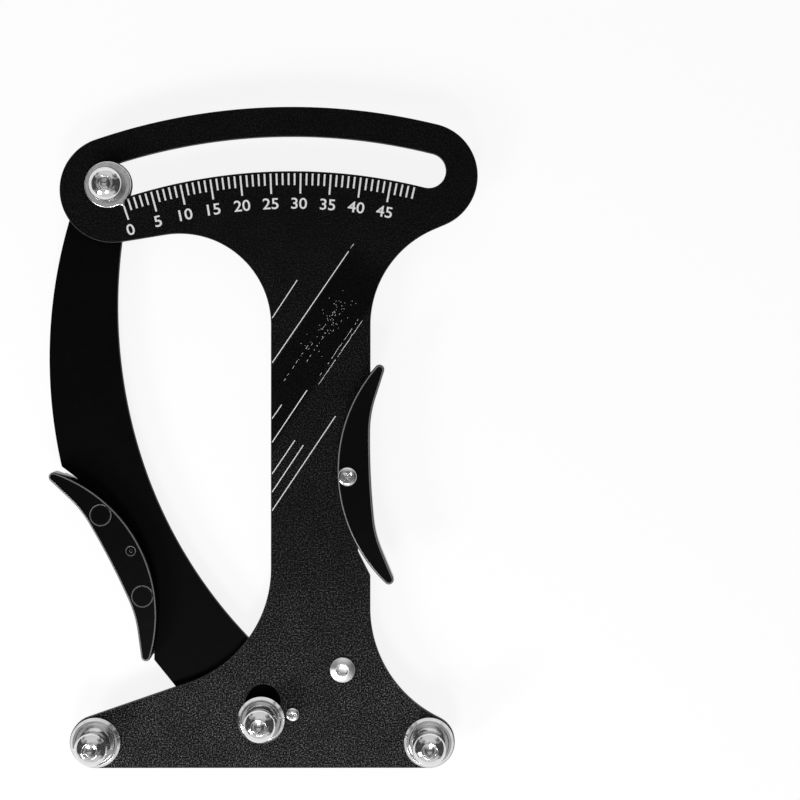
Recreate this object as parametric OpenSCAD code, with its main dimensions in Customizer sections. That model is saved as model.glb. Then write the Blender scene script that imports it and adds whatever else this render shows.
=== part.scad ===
// Spoke tension meter: a flat frame carries two fixed spoke posts and a curved scale, and
// a lever arm behind it carries the third post and the pointer. Squeezing the two crescent
// grips turns the arm about the pivot, lifts the middle post and moves the pointer along
// the slot. A pull spring at the back turns the arm home again.
//
// The pivot's axis is the origin. X runs to the right and Y up the tool, seen from the
// front, and Z comes forward from the plane of the rear feet.

/* [Plates] */
// Thickness of the frame and of the arm
plate_t = 2.5; // [2:0.25:3.5]
// Space between the frame and the arm
plate_gap = 0.5; // [0.4:0.05:0.8]
// Width of the frame's neck
neck_w = 32.2; // [28:0.5:36]
// Radius of the frame's two lower corners
corner_r = 8.4; // [8.2:0.1:9.5]
// Radius of the fillet between the neck and the left end of the head
head_fillet_left_r = 29.6; // [26:0.2:30]
// Radius of the fillet between the neck and the right end of the head
head_fillet_right_r = 33.7; // [30:0.2:34]
// Radius of the fillet between the neck and the left end of the base
base_fillet_left_r = 39.3; // [34:0.2:40]
// Radius of the bay between the neck and the right end of the base
base_fillet_right_r = 39.6; // [37:0.2:40]
// Distance from the middle of the slot down to the centres of the head's fillets
head_rise = 55.4; // [53:0.2:60]
// Height of the left base fillet's centre above the pivot
base_fillet_left_level = 47.4; // [44:0.2:50]
// Height of the right bay's centre above the pivot
base_fillet_right_level = 34.3; // [31:0.2:37]
// Distance of the neck's right edge from the pivot
neck_right = 25.1; // [23:0.1:27]

/* [Spoke posts] */
// Distance between the two outer posts
post_span = 107.9; // [100:0.5:116]
// Height of the pivot above the line of the outer posts
post_drop = 9.1; // [8:0.1:11]
// Distance from the pivot to the middle post
middle_post_reach = 10.35; // [10.3:0.05:12]
// Angle of the middle post below the pivot's level
middle_post_dip = 9.7; // [4:0.1:16]
// Radius of an outer post's flange
post_flange_r = 8.1; // [7:0.1:8.1]
// Radius of the middle post's flange
middle_flange_r = 7.65; // [7:0.05:7.65]
// Thickness of a post's flange
flange_t = 1.6; // [1.2:0.1:2.4]
// Bevel round a flange's rim
flange_bevel = 0.9; // [0.3:0.1:1]
// Radius of the step on a flange
flange_step_r = 6.5; // [6:0.1:6.8]
// Height of the step on a flange
flange_step_t = 0.5; // [0.2:0.1:1]
// Radius of a post at the ends of its groove
post_r = 5.2; // [4.9:0.1:5.5]
// Depth of the groove in which the spoke lies
groove_depth = 1.1; // [0.5:0.1:1.4]
// Height of an outer post above its flange
post_h = 7.5; // [5:0.25:10]
// Height of the middle post above its flange
middle_post_h = 6.6; // [5:0.2:10]

/* [Scale and pointer] */
// Distance from the pivot to the middle of the scale's slot
scale_r = 181.4; // [175:0.2:188]
// Angle of the pointer left of upright, at rest
pointer_lean = 19.2; // [17:0.1:20]
// Angle through which the arm turns when the grips are squeezed
squeeze_angle = 33.2; // [28:0.1:34]
// Half the width of the slot
slot_half_w = 5.6; // [5.4:0.1:6.4]
// Radius of the head's two round ends
head_end_r = 17.1; // [15:0.1:18]
// Distance of the round ends' centres below the middle of the slot
head_end_drop = 1.9; // [0:0.1:3]
// Angle by which the round ends' centres stand inside the slot's ends
head_end_tuck = 0.25; // [0:0.05:0.5]
// Radius of the pointer plate
pointer_r = 7.5; // [6.6:0.1:8]
// Thickness of the pointer plate
pointer_t = 1.2; // [0.8:0.1:2]
// Distance from the pointer's centre to the tip of its beak
beak_reach = 8.7; // [8.3:0.1:9.5]
// Angle of the beak from the line to the pivot
beak_turn = 18.5; // [10:0.5:25]
// Height of the collar between the pointer plate and its screw
collar_h = 3.6; // [2:0.1:5]
// Radius of that collar
collar_r = 5.65; // [5.3:0.05:6.4]

/* [Arm] */
// Radius of the arm's outer edge
arm_outer_r = 158.4; // [140:0.2:180]
// Radius of the arm's inner edge beside the head
arm_inner_upper_r = 161.3; // [145:0.1:180]
// Radius of the arm's inner edge beside the base
arm_inner_lower_r = 150.9; // [140:0.1:165]
// Distance of the arm's inner edge left of the pivot, where those two arcs meet
arm_waist_left = 49.9; // [47:0.1:52]
// Height above the pivot of the place where they meet
arm_waist_level = 84; // [78:0.5:90]
// Radius of the arm's end round the pointer
arm_end_r = 7.9; // [7.6:0.1:8]
// Radius of the arm's base below the middle post
arm_base_r = 13; // [12.5:0.1:13.4]
// Radius of the lug that holds the spring
tail_r = 4.6; // [3.8:0.1:5]
// Radius of the hollow between that lug and the arm
tail_fillet_r = 10; // [8:0.25:11]

/* [Grips] */
// Distance of the frame's grip, at its tips, from the neck's edge
frame_grip_out = 5.7; // [5:0.1:6.4]
// Height of the frame grip's middle above the pivot
frame_grip_level = 78.2; // [74:0.2:82]
// Length of the frame's grip between its tips
frame_grip_len = 70.6; // [70:0.1:71.2]
// Thickness of the frame's grip in its middle
frame_grip_w = 10.8; // [10.4:0.1:11.2]
// Length of the arm's grip between its tips
arm_grip_len = 68.2; // [67.6:0.1:68.8]
// Thickness of the arm's grip in its middle
arm_grip_w = 10.2; // [9.8:0.1:10.6]
// Height of a grip's outer bulge above the line of its tips
grip_crest = 16.3; // [15.9:0.1:16.6]
// Height of a grip in front of its plate
grip_h = 6.5; // [5:0.25:9]
// Rounding of a grip's front edge
grip_edge_r = 0.7; // [0.3:0.1:1.1]
// Distance of a grip's screw from the line of its tips
grip_screw_rise = 13; // [12.4:0.1:13.2]
// Length of the pocket in the frame's edge
frame_pocket_len = 65.6; // [62:0.2:66]
// Depth of the pocket in the frame's edge
frame_pocket_depth = 4; // [3.4:0.2:4.4]
// Distance of the middle of the arm's pocket left of the pivot
arm_pocket_left = 60.5; // [58:0.1:63]
// Height of the middle of the arm's pocket above the pivot
arm_pocket_level = 48.7; // [46:0.1:51]
// Length of the pocket in the arm's edge
arm_pocket_len = 70.2; // [66:0.2:71]
// Depth of the pocket in the arm's edge
arm_pocket_depth = 5; // [3:0.25:5.5]
// Slope of a pocket's ends
pocket_slope = 27; // [20:1:35]

/* [Fasteners] */
// Radius of the large screws' shanks
screw_r = 3; // [2.5:0.1:3.2]
// Radius of a large button head
button_r = 5.2; // [4.8:0.1:5.5]
// Height of a large button head
button_h = 3.3; // [2.5:0.1:4]
// Width of a large screw's hex socket across its flats
socket_w = 4; // [3:0.5:5]
// Width of a large nut across its flats
nut_w = 10; // [9:0.5:10]
// Height of a lock nut
nut_h = 5; // [4:0.25:6]
// Radius of a rear washer
washer_r = 5.5; // [5:0.1:5.6]
// Thickness of a rear washer
washer_t = 1; // [0.8:0.1:1.6]
// Radius of the pivot's journal
journal_r = 3; // [2.6:0.1:3.2]
// Radius of the pivot bush's boss
boss_r = 4.1; // [3.8:0.05:4.2]
// Radius of the pivot screw's shank
pivot_screw_r = 1.25; // [1:0.05:1.5]
// Radius of the pivot screw's head
pivot_head_r = 2.25; // [2:0.05:2.3]
// Radius of the spring post screw's shank
anchor_screw_r = 2; // [1.6:0.1:2.2]
// Radius of the spring post screw's head
anchor_head_r = 4.05; // [3.5:0.05:4.5]
// Radius of a grip screw's shank
grip_screw_r = 1.6; // [1.3:0.1:1.8]
// Radius of a grip screw's head
grip_head_r = 3.1; // [2.7:0.1:3.3]

/* [Return spring] */
// Distance of the frame's spring post to the right of the pivot
anchor_x = 16.1; // [15.4:0.1:16.8]
// Height of the frame's spring post above the pivot
anchor_y = 14.4; // [13.8:0.1:15]
// Distance of the arm's spring pin to the right of the pivot
tail_reach = 27.5; // [26.5:0.1:28.5]
// Distance of the arm's spring pin below the pivot
tail_drop = 1.5; // [0.5:0.1:2.5]
// Diameter of the spring's wire
wire_d = 1; // [0.8:0.05:1.05]
// Radius of the spring's coils at the middle of the wire
coil_r = 2.3; // [2.2:0.05:2.35]
// Number of full turns
coil_turns = 9; // [6:1:9]

/* [Fits] */
// Radial clearance of a turning or sliding fit
running_fit = 0.05; // [0.03:0.01:0.08]
// Clearance round a screw that passes through a plate
hole_fit = 0.1; // [0.05:0.05:0.2]
// Clearance between the slot and the pointer's slider
slider_fit = 0.2; // [0.1:0.05:0.3]
// Height at which the moving pieces pass over the frame
pass_gap = 0.3; // [0.25:0.05:0.5]

/* [Hidden] */
$fn = 64;
cut = 1;                    // how far a cutting shape runs past a face
same_point = 0.12;          // outline points nearer than this are one point

// Levels, from the rear feet forward
arm_back = washer_t + nut_h;
arm_front = arm_back + plate_t;
frame_back = arm_front + plate_gap;
frame_front = frame_back + plate_t;
moving_front = frame_front + pass_gap;
spring_level = arm_back - coil_r - wire_d / 2 - pass_gap;
cap_nut_h = frame_back - washer_t;
cap_hex_h = 4.5;

// Places in the plane of the plates
pivot = [0, 0];
middle_spot = middle_post_reach * [-cos(middle_post_dip), -sin(middle_post_dip)];
left_spot = [middle_spot.x - post_span / 2 + 0.35, -post_drop];
right_spot = left_spot + [post_span, 0];
anchor_spot = [anchor_x, anchor_y];
tail_spot = [tail_reach, -tail_drop];
rest_turn = 90 + pointer_lean;
pointer_spot = polar(scale_r, rest_turn);
neck_left = neck_right - neck_w;
neck_top = scale_r - head_rise;
frame_grip_spot = [neck_right + frame_grip_out, frame_grip_level];
frame_grip_turn = 92.6;
arm_pocket_spot = [-arm_pocket_left, arm_pocket_level];
arm_grip_spot = arm_pocket_spot + [-3, -1.3];
arm_grip_turn = 297.2;
frame_screw_spot = frame_grip_spot + turned([0, grip_screw_rise], frame_grip_turn);
arm_screw_spot = arm_grip_spot + turned([0, grip_screw_rise], arm_grip_turn);
frame_pocket_spot = [neck_right, frame_screw_spot.y];
arm_pocket_turn = 295.7;
grip_tip_r = 1.6;
core_fit = 0.1;             // clearance between a grip's core and its pocket

function polar(r, turn) = r * [cos(turn), sin(turn)];
function turned(p, turn) = [p.x * cos(turn) - p.y * sin(turn), p.x * sin(turn) + p.y * cos(turn)];
function unit(v) = v / norm(v);
// Where two circles cross, on the right of the way from the first centre to the second
function meet(a, ra, b, rb) =
    let (d = norm(b - a), along = (d * d + ra * ra - rb * rb) / (2 * d), way = unit(b - a))
    a + along * way + sqrt(max(0, ra * ra - along * along)) * [way.y, -way.x];
function wrapped(turn) = let (t = (turn % 360 + 360) % 360) t > 359.9 ? 0 : t;

// ---- outlines made of arcs ----------------------------------------------------------
// An outline is a list of circles [x, y, radius, steps], taken anticlockwise. The edge runs
// round each circle and along the straight line that touches it and the next one. A positive
// radius is a rounded corner or bulge, a negative one is a hollow. An inset moves the whole
// edge inwards by taking the same amount off every signed radius.
function heading(a, b) =
    atan2(b.y - a.y, b.x - a.x)
    + asin(max(-1, min(1, (a[2] - b[2]) / norm([b.x - a.x, b.y - a.y]))));

function arc_points(before, here, after, inset) =
    let (r = here[2] - inset,
         side = here[2] < 0 ? 90 : -90,
         first = heading(before, here) + side,
         sweep = here[2] < 0 ? -wrapped(heading(before, here) - heading(here, after))
                             : wrapped(heading(here, after) - heading(before, here)))
    [for (i = [0 : here[3]]) [here.x, here.y] + polar(abs(r), first + sweep * i / here[3])];

function outline(circles, inset = 0) =
    let (n = len(circles))
    [for (i = [0 : n - 1])
        each arc_points(circles[(i + n - 1) % n], circles[i], circles[(i + 1) % n], inset)];

// The numbers of the points that differ from the one before them
function distinct(points) =
    let (n = len(points))
    [for (i = [0 : n - 1]) if (norm(points[i] - points[(i + n - 1) % n]) > same_point) i];

module face(circles) {
    points = outline(circles);
    polygon([for (i = distinct(points)) points[i]]);
}

// A slab whose edge follows the levels [inset, height]. Its outline has as many points on
// one side as on the other, counted from the middle of its first circle, so its two ends
// are strips that run across from side to side.
module slab(circles, levels) {
    keep = distinct(outline(circles));
    n = len(keep);
    rings = [for (level = levels) let (points = outline(circles, level[0]))
        for (i = keep) [points[i].x, points[i].y, level[1]]];
    top = (len(levels) - 1) * n;
    first = circles[0][3] / 2;
    function across(i) = (first + i + n) % n;
    polyhedron(rings, concat(
        [for (j = [1 : n / 2 - 1]) [across(-j), across(j), across(j + 1)]],
        [for (j = [0 : n / 2 - 2]) [across(-j), across(j + 1), across(-j - 1)]],
        [for (j = [1 : n / 2 - 1]) [top + across(j + 1), top + across(j), top + across(-j)]],
        [for (j = [0 : n / 2 - 2])
            [top + across(-j - 1), top + across(j + 1), top + across(-j)]],
        [for (k = [0 : len(levels) - 2], i = [0 : n - 1])
            [k * n + i, (k + 1) * n + i, (k + 1) * n + (i + 1) % n]],
        [for (k = [0 : len(levels) - 2], i = [0 : n - 1])
            [k * n + i, (k + 1) * n + (i + 1) % n, k * n + (i + 1) % n]]));
}

// ---- outlines of the plates and grips -----------------------------------------------
head_outer_r = scale_r - head_end_drop + head_end_r;
head_left = polar(scale_r - head_end_drop, rest_turn - head_end_tuck);
head_right = polar(scale_r - head_end_drop, rest_turn - squeeze_angle + head_end_tuck);
frame_circles = [
    [left_spot.x, left_spot.y, corner_r, 24],
    [right_spot.x, right_spot.y, corner_r, 24],
    [neck_right + base_fillet_right_r, base_fillet_right_level, -base_fillet_right_r, 24],
    [neck_right + head_fillet_right_r, neck_top, -head_fillet_right_r, 24],
    [head_right.x, head_right.y, head_end_r, 32],
    [0, 0, head_outer_r, 30],
    [head_left.x, head_left.y, head_end_r, 32],
    [neck_left - head_fillet_left_r, neck_top, -head_fillet_left_r, 20],
    [neck_left - base_fillet_left_r, base_fillet_left_level, -base_fillet_left_r, 20]];

// The arm's edges are arcs that touch its round ends and pass through a corner or a waist
arm_end = pointer_spot + [-0.7, 0.2];
arm_corner = arm_pocket_spot + turned([arm_pocket_len / 2, 0], arm_pocket_turn);
arm_waist = [-arm_waist_left, arm_waist_level];
tail_fillet = anchor_spot + [0.4, -0.33 * tail_fillet_r];
outer_centre = meet(arm_corner, arm_outer_r, arm_end, arm_outer_r - arm_end_r);
upper_centre = meet(arm_waist, arm_inner_upper_r, arm_end, arm_inner_upper_r + arm_end_r);
lower_centre = meet(tail_fillet, arm_inner_lower_r - tail_fillet_r,
                    arm_waist, arm_inner_lower_r);
arm_circles = [
    [arm_end.x, arm_end.y, arm_end_r, 24],
    [outer_centre.x, outer_centre.y, arm_outer_r, 40],
    [arm_corner.x, arm_corner.y, 0, 1],
    [middle_spot.x - 3.8, middle_spot.y + 0.7, arm_base_r, 16],
    [tail_spot.x, tail_spot.y, tail_r, 16],
    [tail_fillet.x, tail_fillet.y, -tail_fillet_r, 16],
    [lower_centre.x, lower_centre.y, -arm_inner_lower_r, 30],
    [upper_centre.x, upper_centre.y, -arm_inner_upper_r, 24]];

// A grip lies along X with its bulge towards +Y. The hollow side is nearly straight in the
// middle and curves out to the tips.
grip_flat_r = 250;
grip_flank_r = 36;
grip_flat_half = 14;
function sag(r, half) = sqrt(r * r - half * half);
function grip_circles(length, w) =
    let (bulge_r = 0.715 * length,
         hollow = grip_crest - w,
         tip = [length / 2 - grip_tip_r,
                grip_crest - bulge_r + sag(bulge_r - grip_tip_r, length / 2 - grip_tip_r)],
         flank = [0, hollow - grip_flat_r]
             + (grip_flat_r - grip_flank_r) / grip_flat_r
             * [grip_flat_half, sag(grip_flat_r, grip_flat_half)])
    [[tip.x, tip.y, grip_tip_r, 8],
     [0, grip_crest - bulge_r, bulge_r, 36],
     [-tip.x, tip.y, grip_tip_r, 8],
     [-flank.x, flank.y, -grip_flank_r, 12],
     [0, hollow - grip_flat_r, -grip_flat_r, 12],
     [flank.x, flank.y, -grip_flank_r, 12]];
frame_grip_circles = grip_circles(frame_grip_len, frame_grip_w);
arm_grip_circles = grip_circles(arm_grip_len, arm_grip_w);

// The pocket that a grip's core fills: a trapezoid that opens through the plate's edge.
// The core itself ends level with that edge.
module pocket(length, depth, fit, reach) {
    run = 1 / tan(pocket_slope);
    half = length / 2 - fit / sin(pocket_slope);
    polygon([[-half + (depth - fit) * run, depth - fit],
             [half - (depth - fit) * run, depth - fit],
             [half + reach * run, -reach], [-half - reach * run, -reach]]);
}

module frame_pocket(fit = 0, reach = 14) {
    translate(frame_pocket_spot) rotate(90)
        pocket(frame_pocket_len, frame_pocket_depth, fit, reach);
}

module arm_pocket(fit = 0, reach = 14) {
    translate(arm_pocket_spot) rotate(arm_pocket_turn)
        pocket(arm_pocket_len, arm_pocket_depth, fit, reach);
}

// A slot along a circle about the pivot
module arc_slot(radius, half_w, turn_from, turn_to) {
    steps = 24;
    polygon(concat(
        [for (i = [0 : steps])
            polar(radius + half_w, turn_from + (turn_to - turn_from) * i / steps)],
        [for (i = [steps : -1 : 0])
            polar(radius - half_w, turn_from + (turn_to - turn_from) * i / steps)]));
    for (turn = [turn_from, turn_to]) translate(polar(radius, turn)) circle(half_w);
}

// ---- turned and hexagonal pieces ----------------------------------------------------
module tube(outer, bore, low, high) {
    translate([0, 0, low]) difference() {
        cylinder(r = outer, h = high - low);
        translate([0, 0, -cut]) cylinder(r = bore, h = high - low + 2 * cut);
    }
}

module hexagon(width, low, high) {
    translate([0, 0, low]) cylinder(r = width / sqrt(3), h = high - low, $fn = 6);
}

// A spoke post: a bevelled flange, a low step and a waisted groove, with a bore for its screw
module post(flange, height) {
    groove_low = flange_t + flange_step_t;
    groove_high = flange_t + height;
    half = (groove_high - groove_low) / 2;
    groove_r = (half * half + groove_depth * groove_depth) / (2 * groove_depth);
    half_turn = asin(half / groove_r);
    bore = screw_r + running_fit;
    rotate_extrude() polygon(concat(
        [[bore, 0], [flange, 0], [flange, flange_t - flange_bevel],
         [flange - flange_bevel, flange_t], [flange_step_r, flange_t],
         [flange_step_r - flange_step_t / 2, groove_low]],
        [for (i = [0 : 12]) let (turn = -half_turn + 2 * half_turn * i / 12)
            [post_r - groove_depth + groove_r * (1 - cos(turn)),
             groove_low + half + groove_r * sin(turn)]],
        [[bore, groove_high]]));
}

// A domed button head on a shank, with a hex socket. The head stands on z = 0.
module button_screw(shank_end) {
    land_r = 0.56 * button_r;
    rim_h = 0.5;
    difference() {
        rotate_extrude() polygon(concat(
            [[0, shank_end], [screw_r, shank_end], [screw_r, 0], [button_r, 0]],
            [for (i = [0 : 10]) let (turn = 90 * i / 10)
                [land_r + (button_r - land_r) * cos(turn),
                 rim_h + (button_h - rim_h) * sin(turn)]],
            [[0, button_h]]));
        hexagon(socket_w, button_h - 2, button_h + cut);
    }
}

// A small round head with a cross recess, on a shank. The head stands on z = 0.
module cross_screw(shank, head, height, shank_end) {
    arm_w = 0.32 * head;
    difference() {
        rotate_extrude() polygon(concat(
            [[0, shank_end], [shank, shank_end], [shank, 0], [head, 0]],
            [for (i = [0 : 6]) let (turn = 90 * i / 6)
                [0.6 * head + 0.4 * head * cos(turn), 0.4 * height + 0.6 * height * sin(turn)]],
            [[0, height]]));
        for (turn = [0, 90]) rotate(turn)
            translate([-0.6 * head, -arm_w / 2, 0.35 * height]) cube([1.2 * head, arm_w, height]);
    }
}

module lock_nut() {
    collar = 0.25 * nut_h;
    difference() {
        union() {
            hexagon(nut_w, collar, nut_h);
            cylinder(r1 = nut_w / 2 - 0.8, r2 = nut_w / 2 - 0.1, h = collar);
        }
        translate([0, 0, -cut]) cylinder(r = screw_r + running_fit, h = nut_h + 2 * cut);
    }
}

// A domed nut that hides the end of its screw. Its dome stands on z = 0, cut flat.
module cap_nut() {
    dome_h = cap_nut_h - cap_hex_h;
    foot_r = 1.6;
    dome_r = nut_w / 2 - 0.3;
    blind = 2.2;
    difference() {
        union() {
            hexagon(nut_w, dome_h, cap_nut_h);
            rotate_extrude() polygon(concat([[0, 0]],
                [for (i = [0 : 10]) let (turn = 90 * i / 10)
                    [foot_r + (dome_r - foot_r) * sin(turn), dome_h * (1 - cos(turn))]],
                [[dome_r, dome_h + cut], [0, dome_h + cut]]));
        }
        translate([0, 0, blind]) cylinder(r = screw_r + running_fit, h = cap_nut_h);
    }
}

// ---- frame --------------------------------------------------------------------------
module frame_plate() {
    color("#18181a") translate([0, 0, frame_back]) difference() {
        linear_extrude(plate_t) difference() {
            face(frame_circles);
            arc_slot(scale_r, slot_half_w, rest_turn, rest_turn - squeeze_angle);
            arc_slot(middle_post_reach, post_r + 0.4, 180 + middle_post_dip,
                     180 + middle_post_dip - squeeze_angle);
            frame_pocket();
        }
        for (spot = [left_spot, right_spot]) translate([spot.x, spot.y, -cut])
            cylinder(r = screw_r + hole_fit, h = plate_t + 2 * cut);
        translate([0, 0, -cut]) cylinder(r = pivot_screw_r + hole_fit, h = plate_t + 2 * cut);
        translate([anchor_spot.x, anchor_spot.y, -cut])
            cylinder(r = anchor_screw_r + hole_fit, h = plate_t + 2 * cut);
        translate([frame_screw_spot.x, frame_screw_spot.y, -cut])
            cylinder(r = grip_screw_r + hole_fit, h = plate_t + 2 * cut);
    }
}

module outer_post(spot) {
    color("#d0d2d4") translate([spot.x, spot.y, frame_front]) post(post_flange_r, post_h);
}

module outer_screw(spot) {
    head_level = frame_front + flange_t + post_h;
    shank_end = 3;
    color("#dcdddf") translate([spot.x, spot.y, head_level]) button_screw(shank_end - head_level);
}

module outer_washer(spot) {
    color("#b9bbbd") translate([spot.x, spot.y, 0])
        tube(washer_r, screw_r + hole_fit, frame_back - washer_t, frame_back);
}

module left_post() { outer_post(left_spot); }
module right_post() { outer_post(right_spot); }
module left_post_screw() { outer_screw(left_spot); }
module right_post_screw() { outer_screw(right_spot); }
module left_washer() { outer_washer(left_spot); }
module right_washer() { outer_washer(right_spot); }
module left_cap_nut() { color("#c6c8ca") translate(left_spot) cap_nut(); }
module right_cap_nut() { color("#c6c8ca") translate(right_spot) cap_nut(); }

// The pivot: a turned bush with a journal for the arm and a boss that keeps the arm on
module pivot_bush() {
    color("#a9abad") difference() {
        union() {
            cylinder(r = boss_r, h = arm_back - 2 * running_fit);
            cylinder(r = journal_r, h = frame_back);
        }
        translate([0, 0, frame_back - 6]) cylinder(r = pivot_screw_r + running_fit, h = 6 + cut);
    }
}

module pivot_screw() {
    color("#dcdddf") translate([0, 0, frame_front])
        cross_screw(pivot_screw_r, pivot_head_r, 1.2, 4.5 - frame_front);
}

module thrust_washer() {
    outer = middle_post_reach - post_r - pass_gap;
    color("#c8a45a")
        tube(outer, journal_r + running_fit, arm_front + running_fit, frame_back - running_fit);
}

hook_neck_r = 2.2;          // radius of the post and pin between the spring and the plates
anchor_seat_r = 3.4;        // radius of the spring post where it meets the frame

// The grooved post and pin that hold the spring's two loops
module hook_post(neck_r, seat_r, seat_h, top) {
    groove_r = coil_r - wire_d / 2 - slider_fit;
    groove_half = wire_d / 2 + 0.35;
    cap_r = groove_r + 1.1;
    rotate_extrude() polygon([
        [0, pass_gap], [cap_r - 0.3, pass_gap], [cap_r, 2 * pass_gap],
        [cap_r, spring_level - groove_half], [groove_r, spring_level - groove_half],
        [groove_r, spring_level + groove_half], [neck_r, spring_level + groove_half],
        [neck_r, top - seat_h], [seat_r, top - seat_h], [seat_r, top], [0, top]]);
}

module spring_post() {
    color("#b4b6b8") translate(anchor_spot) difference() {
        hook_post(hook_neck_r, anchor_seat_r, frame_back - arm_back, frame_back);
        translate([0, 0, arm_back])
            cylinder(r = anchor_screw_r + running_fit, h = frame_back - arm_back + cut);
    }
}

module spring_post_screw() {
    head_h = 1.4;
    color("#dcdddf") translate([anchor_spot.x, anchor_spot.y, frame_front]) difference() {
        union() {
            cylinder(r = anchor_head_r, h = head_h - 0.4);
            translate([0, 0, head_h - 0.4])
                cylinder(r1 = anchor_head_r, r2 = anchor_head_r - 0.4, h = 0.4);
            translate([0, 0, arm_back + pass_gap - frame_front])
                cylinder(r = anchor_screw_r, h = frame_front - arm_back);
        }
        hexagon(3, 0.3, head_h + cut);
    }
}

// ---- return spring ------------------------------------------------------------------
// The wire's path, on an X axis that runs from the arm's pin to the frame's post. A loop
// lies round each pin, a short straight lead runs beside the axis, and the coils wind
// round it. Turned half a turn about its middle, the path is the same path again.
spring_run = norm(anchor_spot - tail_spot);
lead = 1.6;                 // from a pin's level to where the wire starts to wind
lead_in = 1.5;              // length over which the wire swings from lead to coil
lead_slope = 2.4;           // how steeply it leaves the lead
loop_open = 340;            // where the free end of a loop stands
coil_pitch = (spring_run - 2 * (lead + lead_in)) / coil_turns;
coil_rings = 8;

function loop_point(turn) = [coil_r * cos(turn), coil_r * sin(turn), 0];
function lead_point(t) =
    let (x = lead + lead_slope * t + (lead_in - lead_slope) * t * t, turn = 90 * t * t)
    [x, coil_r * cos(turn), coil_r * sin(turn)];
function coil_point(turn) =
    [lead + lead_in + coil_pitch * turn / 360,
     coil_r * cos(turn + 90), coil_r * sin(turn + 90)];

spring_half = concat(
    [loop_point(loop_open) - wire_d * [sin(loop_open), -cos(loop_open), 0]],
    [for (i = [0 : 10]) loop_point(loop_open + (90 - loop_open) * i / 10)],
    [for (i = [0 : 4]) lead_point(i / 5)]);
spring_path = concat(
    spring_half,
    [for (i = [0 : coil_turns * coil_rings]) coil_point(i * 360 / coil_rings)],
    [for (i = [len(spring_half) - 1 : -1 : 0])
        [spring_run - spring_half[i].x, -spring_half[i].y, spring_half[i].z]]);

// The least gap between two stretches of wire that lie over half a turn apart
spring_gap = min([for (i = [0 : len(spring_path) - 1])
    for (j = [i + coil_rings / 2 + 1 : 1 : len(spring_path) - 1])
        norm(spring_path[i] - spring_path[j])]) - wire_d;
echo(spring_gap = spring_gap, coil_pitch = coil_pitch);

// A round wire along a path. Each ring's frame is the one before it, turned no more than
// the path turns.
module wire(path, diameter, sides) {
    n = len(path);
    ways = [for (i = [0 : n - 1]) unit(path[min(i + 1, n - 1)] - path[max(i - 1, 0)])];
    first = unit(cross(ways[0], [0, 0, 1]));
    sideways = [for (i = 0, v = first; i < n;
                     i = i + 1,
                     v = i < n ? unit(v - (v * ways[i]) * ways[i]) : v) v];
    rings = [for (i = [0 : n - 1], k = [0 : sides - 1]) let (turn = 360 * k / sides)
        path[i] + diameter / 2 * (cos(turn) * sideways[i]
                                  + sin(turn) * cross(ways[i], sideways[i]))];
    polyhedron(rings, concat(
        [[for (k = [0 : sides - 1]) k]],
        [[for (k = [sides - 1 : -1 : 0]) (n - 1) * sides + k]],
        [for (i = [0 : n - 2], k = [0 : sides - 1])
            [i * sides + k, (i + 1) * sides + k, (i + 1) * sides + (k + 1) % sides]],
        [for (i = [0 : n - 2], k = [0 : sides - 1])
            [i * sides + k, (i + 1) * sides + (k + 1) % sides, i * sides + (k + 1) % sides]]));
}

module return_spring() {
    run = anchor_spot - tail_spot;
    color("#8d9094") translate([tail_spot.x, tail_spot.y, spring_level])
        rotate(atan2(run.y, run.x)) wire(spring_path, wire_d, 6);
}

// ---- grips --------------------------------------------------------------------------
// A grip lies on the front of its plate, and its core fills the pocket in the plate's edge
module grip_body(circles, low) {
    steps = 5;
    color("#0b0b0d") slab(circles, concat([[0, low]],
        [for (i = [0 : steps]) let (turn = 90 * i / steps)
            [grip_edge_r * (1 - cos(turn)), low + grip_h - grip_edge_r * (1 - sin(turn))]]));
}

module frame_grip() {
    difference() {
        union() {
            translate(frame_grip_spot) rotate(frame_grip_turn)
                grip_body(frame_grip_circles, frame_front);
            color("#0b0b0d") translate([0, 0, frame_back]) linear_extrude(plate_t + cut)
                intersection() {
                    translate(frame_grip_spot) rotate(frame_grip_turn) face(frame_grip_circles);
                    frame_pocket(core_fit, 0);
                }
        }
        translate([frame_screw_spot.x, frame_screw_spot.y, frame_back])
            cylinder(r = grip_screw_r + hole_fit, h = plate_t + grip_h + cut);
    }
}

module frame_grip_screw() {
    nut_level = frame_back - 2.4;
    color("#dcdddf") translate([frame_screw_spot.x, frame_screw_spot.y, frame_front + grip_h])
        cross_screw(grip_screw_r, grip_head_r, 1.3, nut_level + 0.4 - frame_front - grip_h);
}

module frame_grip_nut() {
    color("#b9bbbd") translate([frame_screw_spot.x, frame_screw_spot.y, 0]) difference() {
        hexagon(6, frame_back - 2.4, frame_back);
        cylinder(r = grip_screw_r + running_fit, h = frame_back + cut);
    }
}

// ---- arm ----------------------------------------------------------------------------
module arm_plate() {
    color("#1f1f21") translate([0, 0, arm_back]) difference() {
        linear_extrude(plate_t) difference() {
            face(arm_circles);
            arm_pocket();
        }
        translate([0, 0, -cut]) cylinder(r = journal_r + running_fit, h = plate_t + 2 * cut);
        for (spot = [middle_spot, pointer_spot]) translate([spot.x, spot.y, -cut])
            cylinder(r = screw_r + hole_fit, h = plate_t + 2 * cut);
        translate([tail_spot.x, tail_spot.y, -cut])
            cylinder(r = 1.5 + running_fit, h = plate_t + 2 * cut);
        translate([arm_screw_spot.x, arm_screw_spot.y, -cut])
            cylinder(r = grip_screw_r + hole_fit, h = plate_t + 2 * cut);
    }
}

// The middle post has a spigot that reaches down through the frame's short slot
module middle_post() {
    color("#d0d2d4") translate(middle_spot) union() {
        tube(post_r - 0.2, screw_r + running_fit, arm_front, moving_front + flange_t / 2);
        translate([0, 0, moving_front]) post(middle_flange_r, middle_post_h);
    }
}

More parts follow.
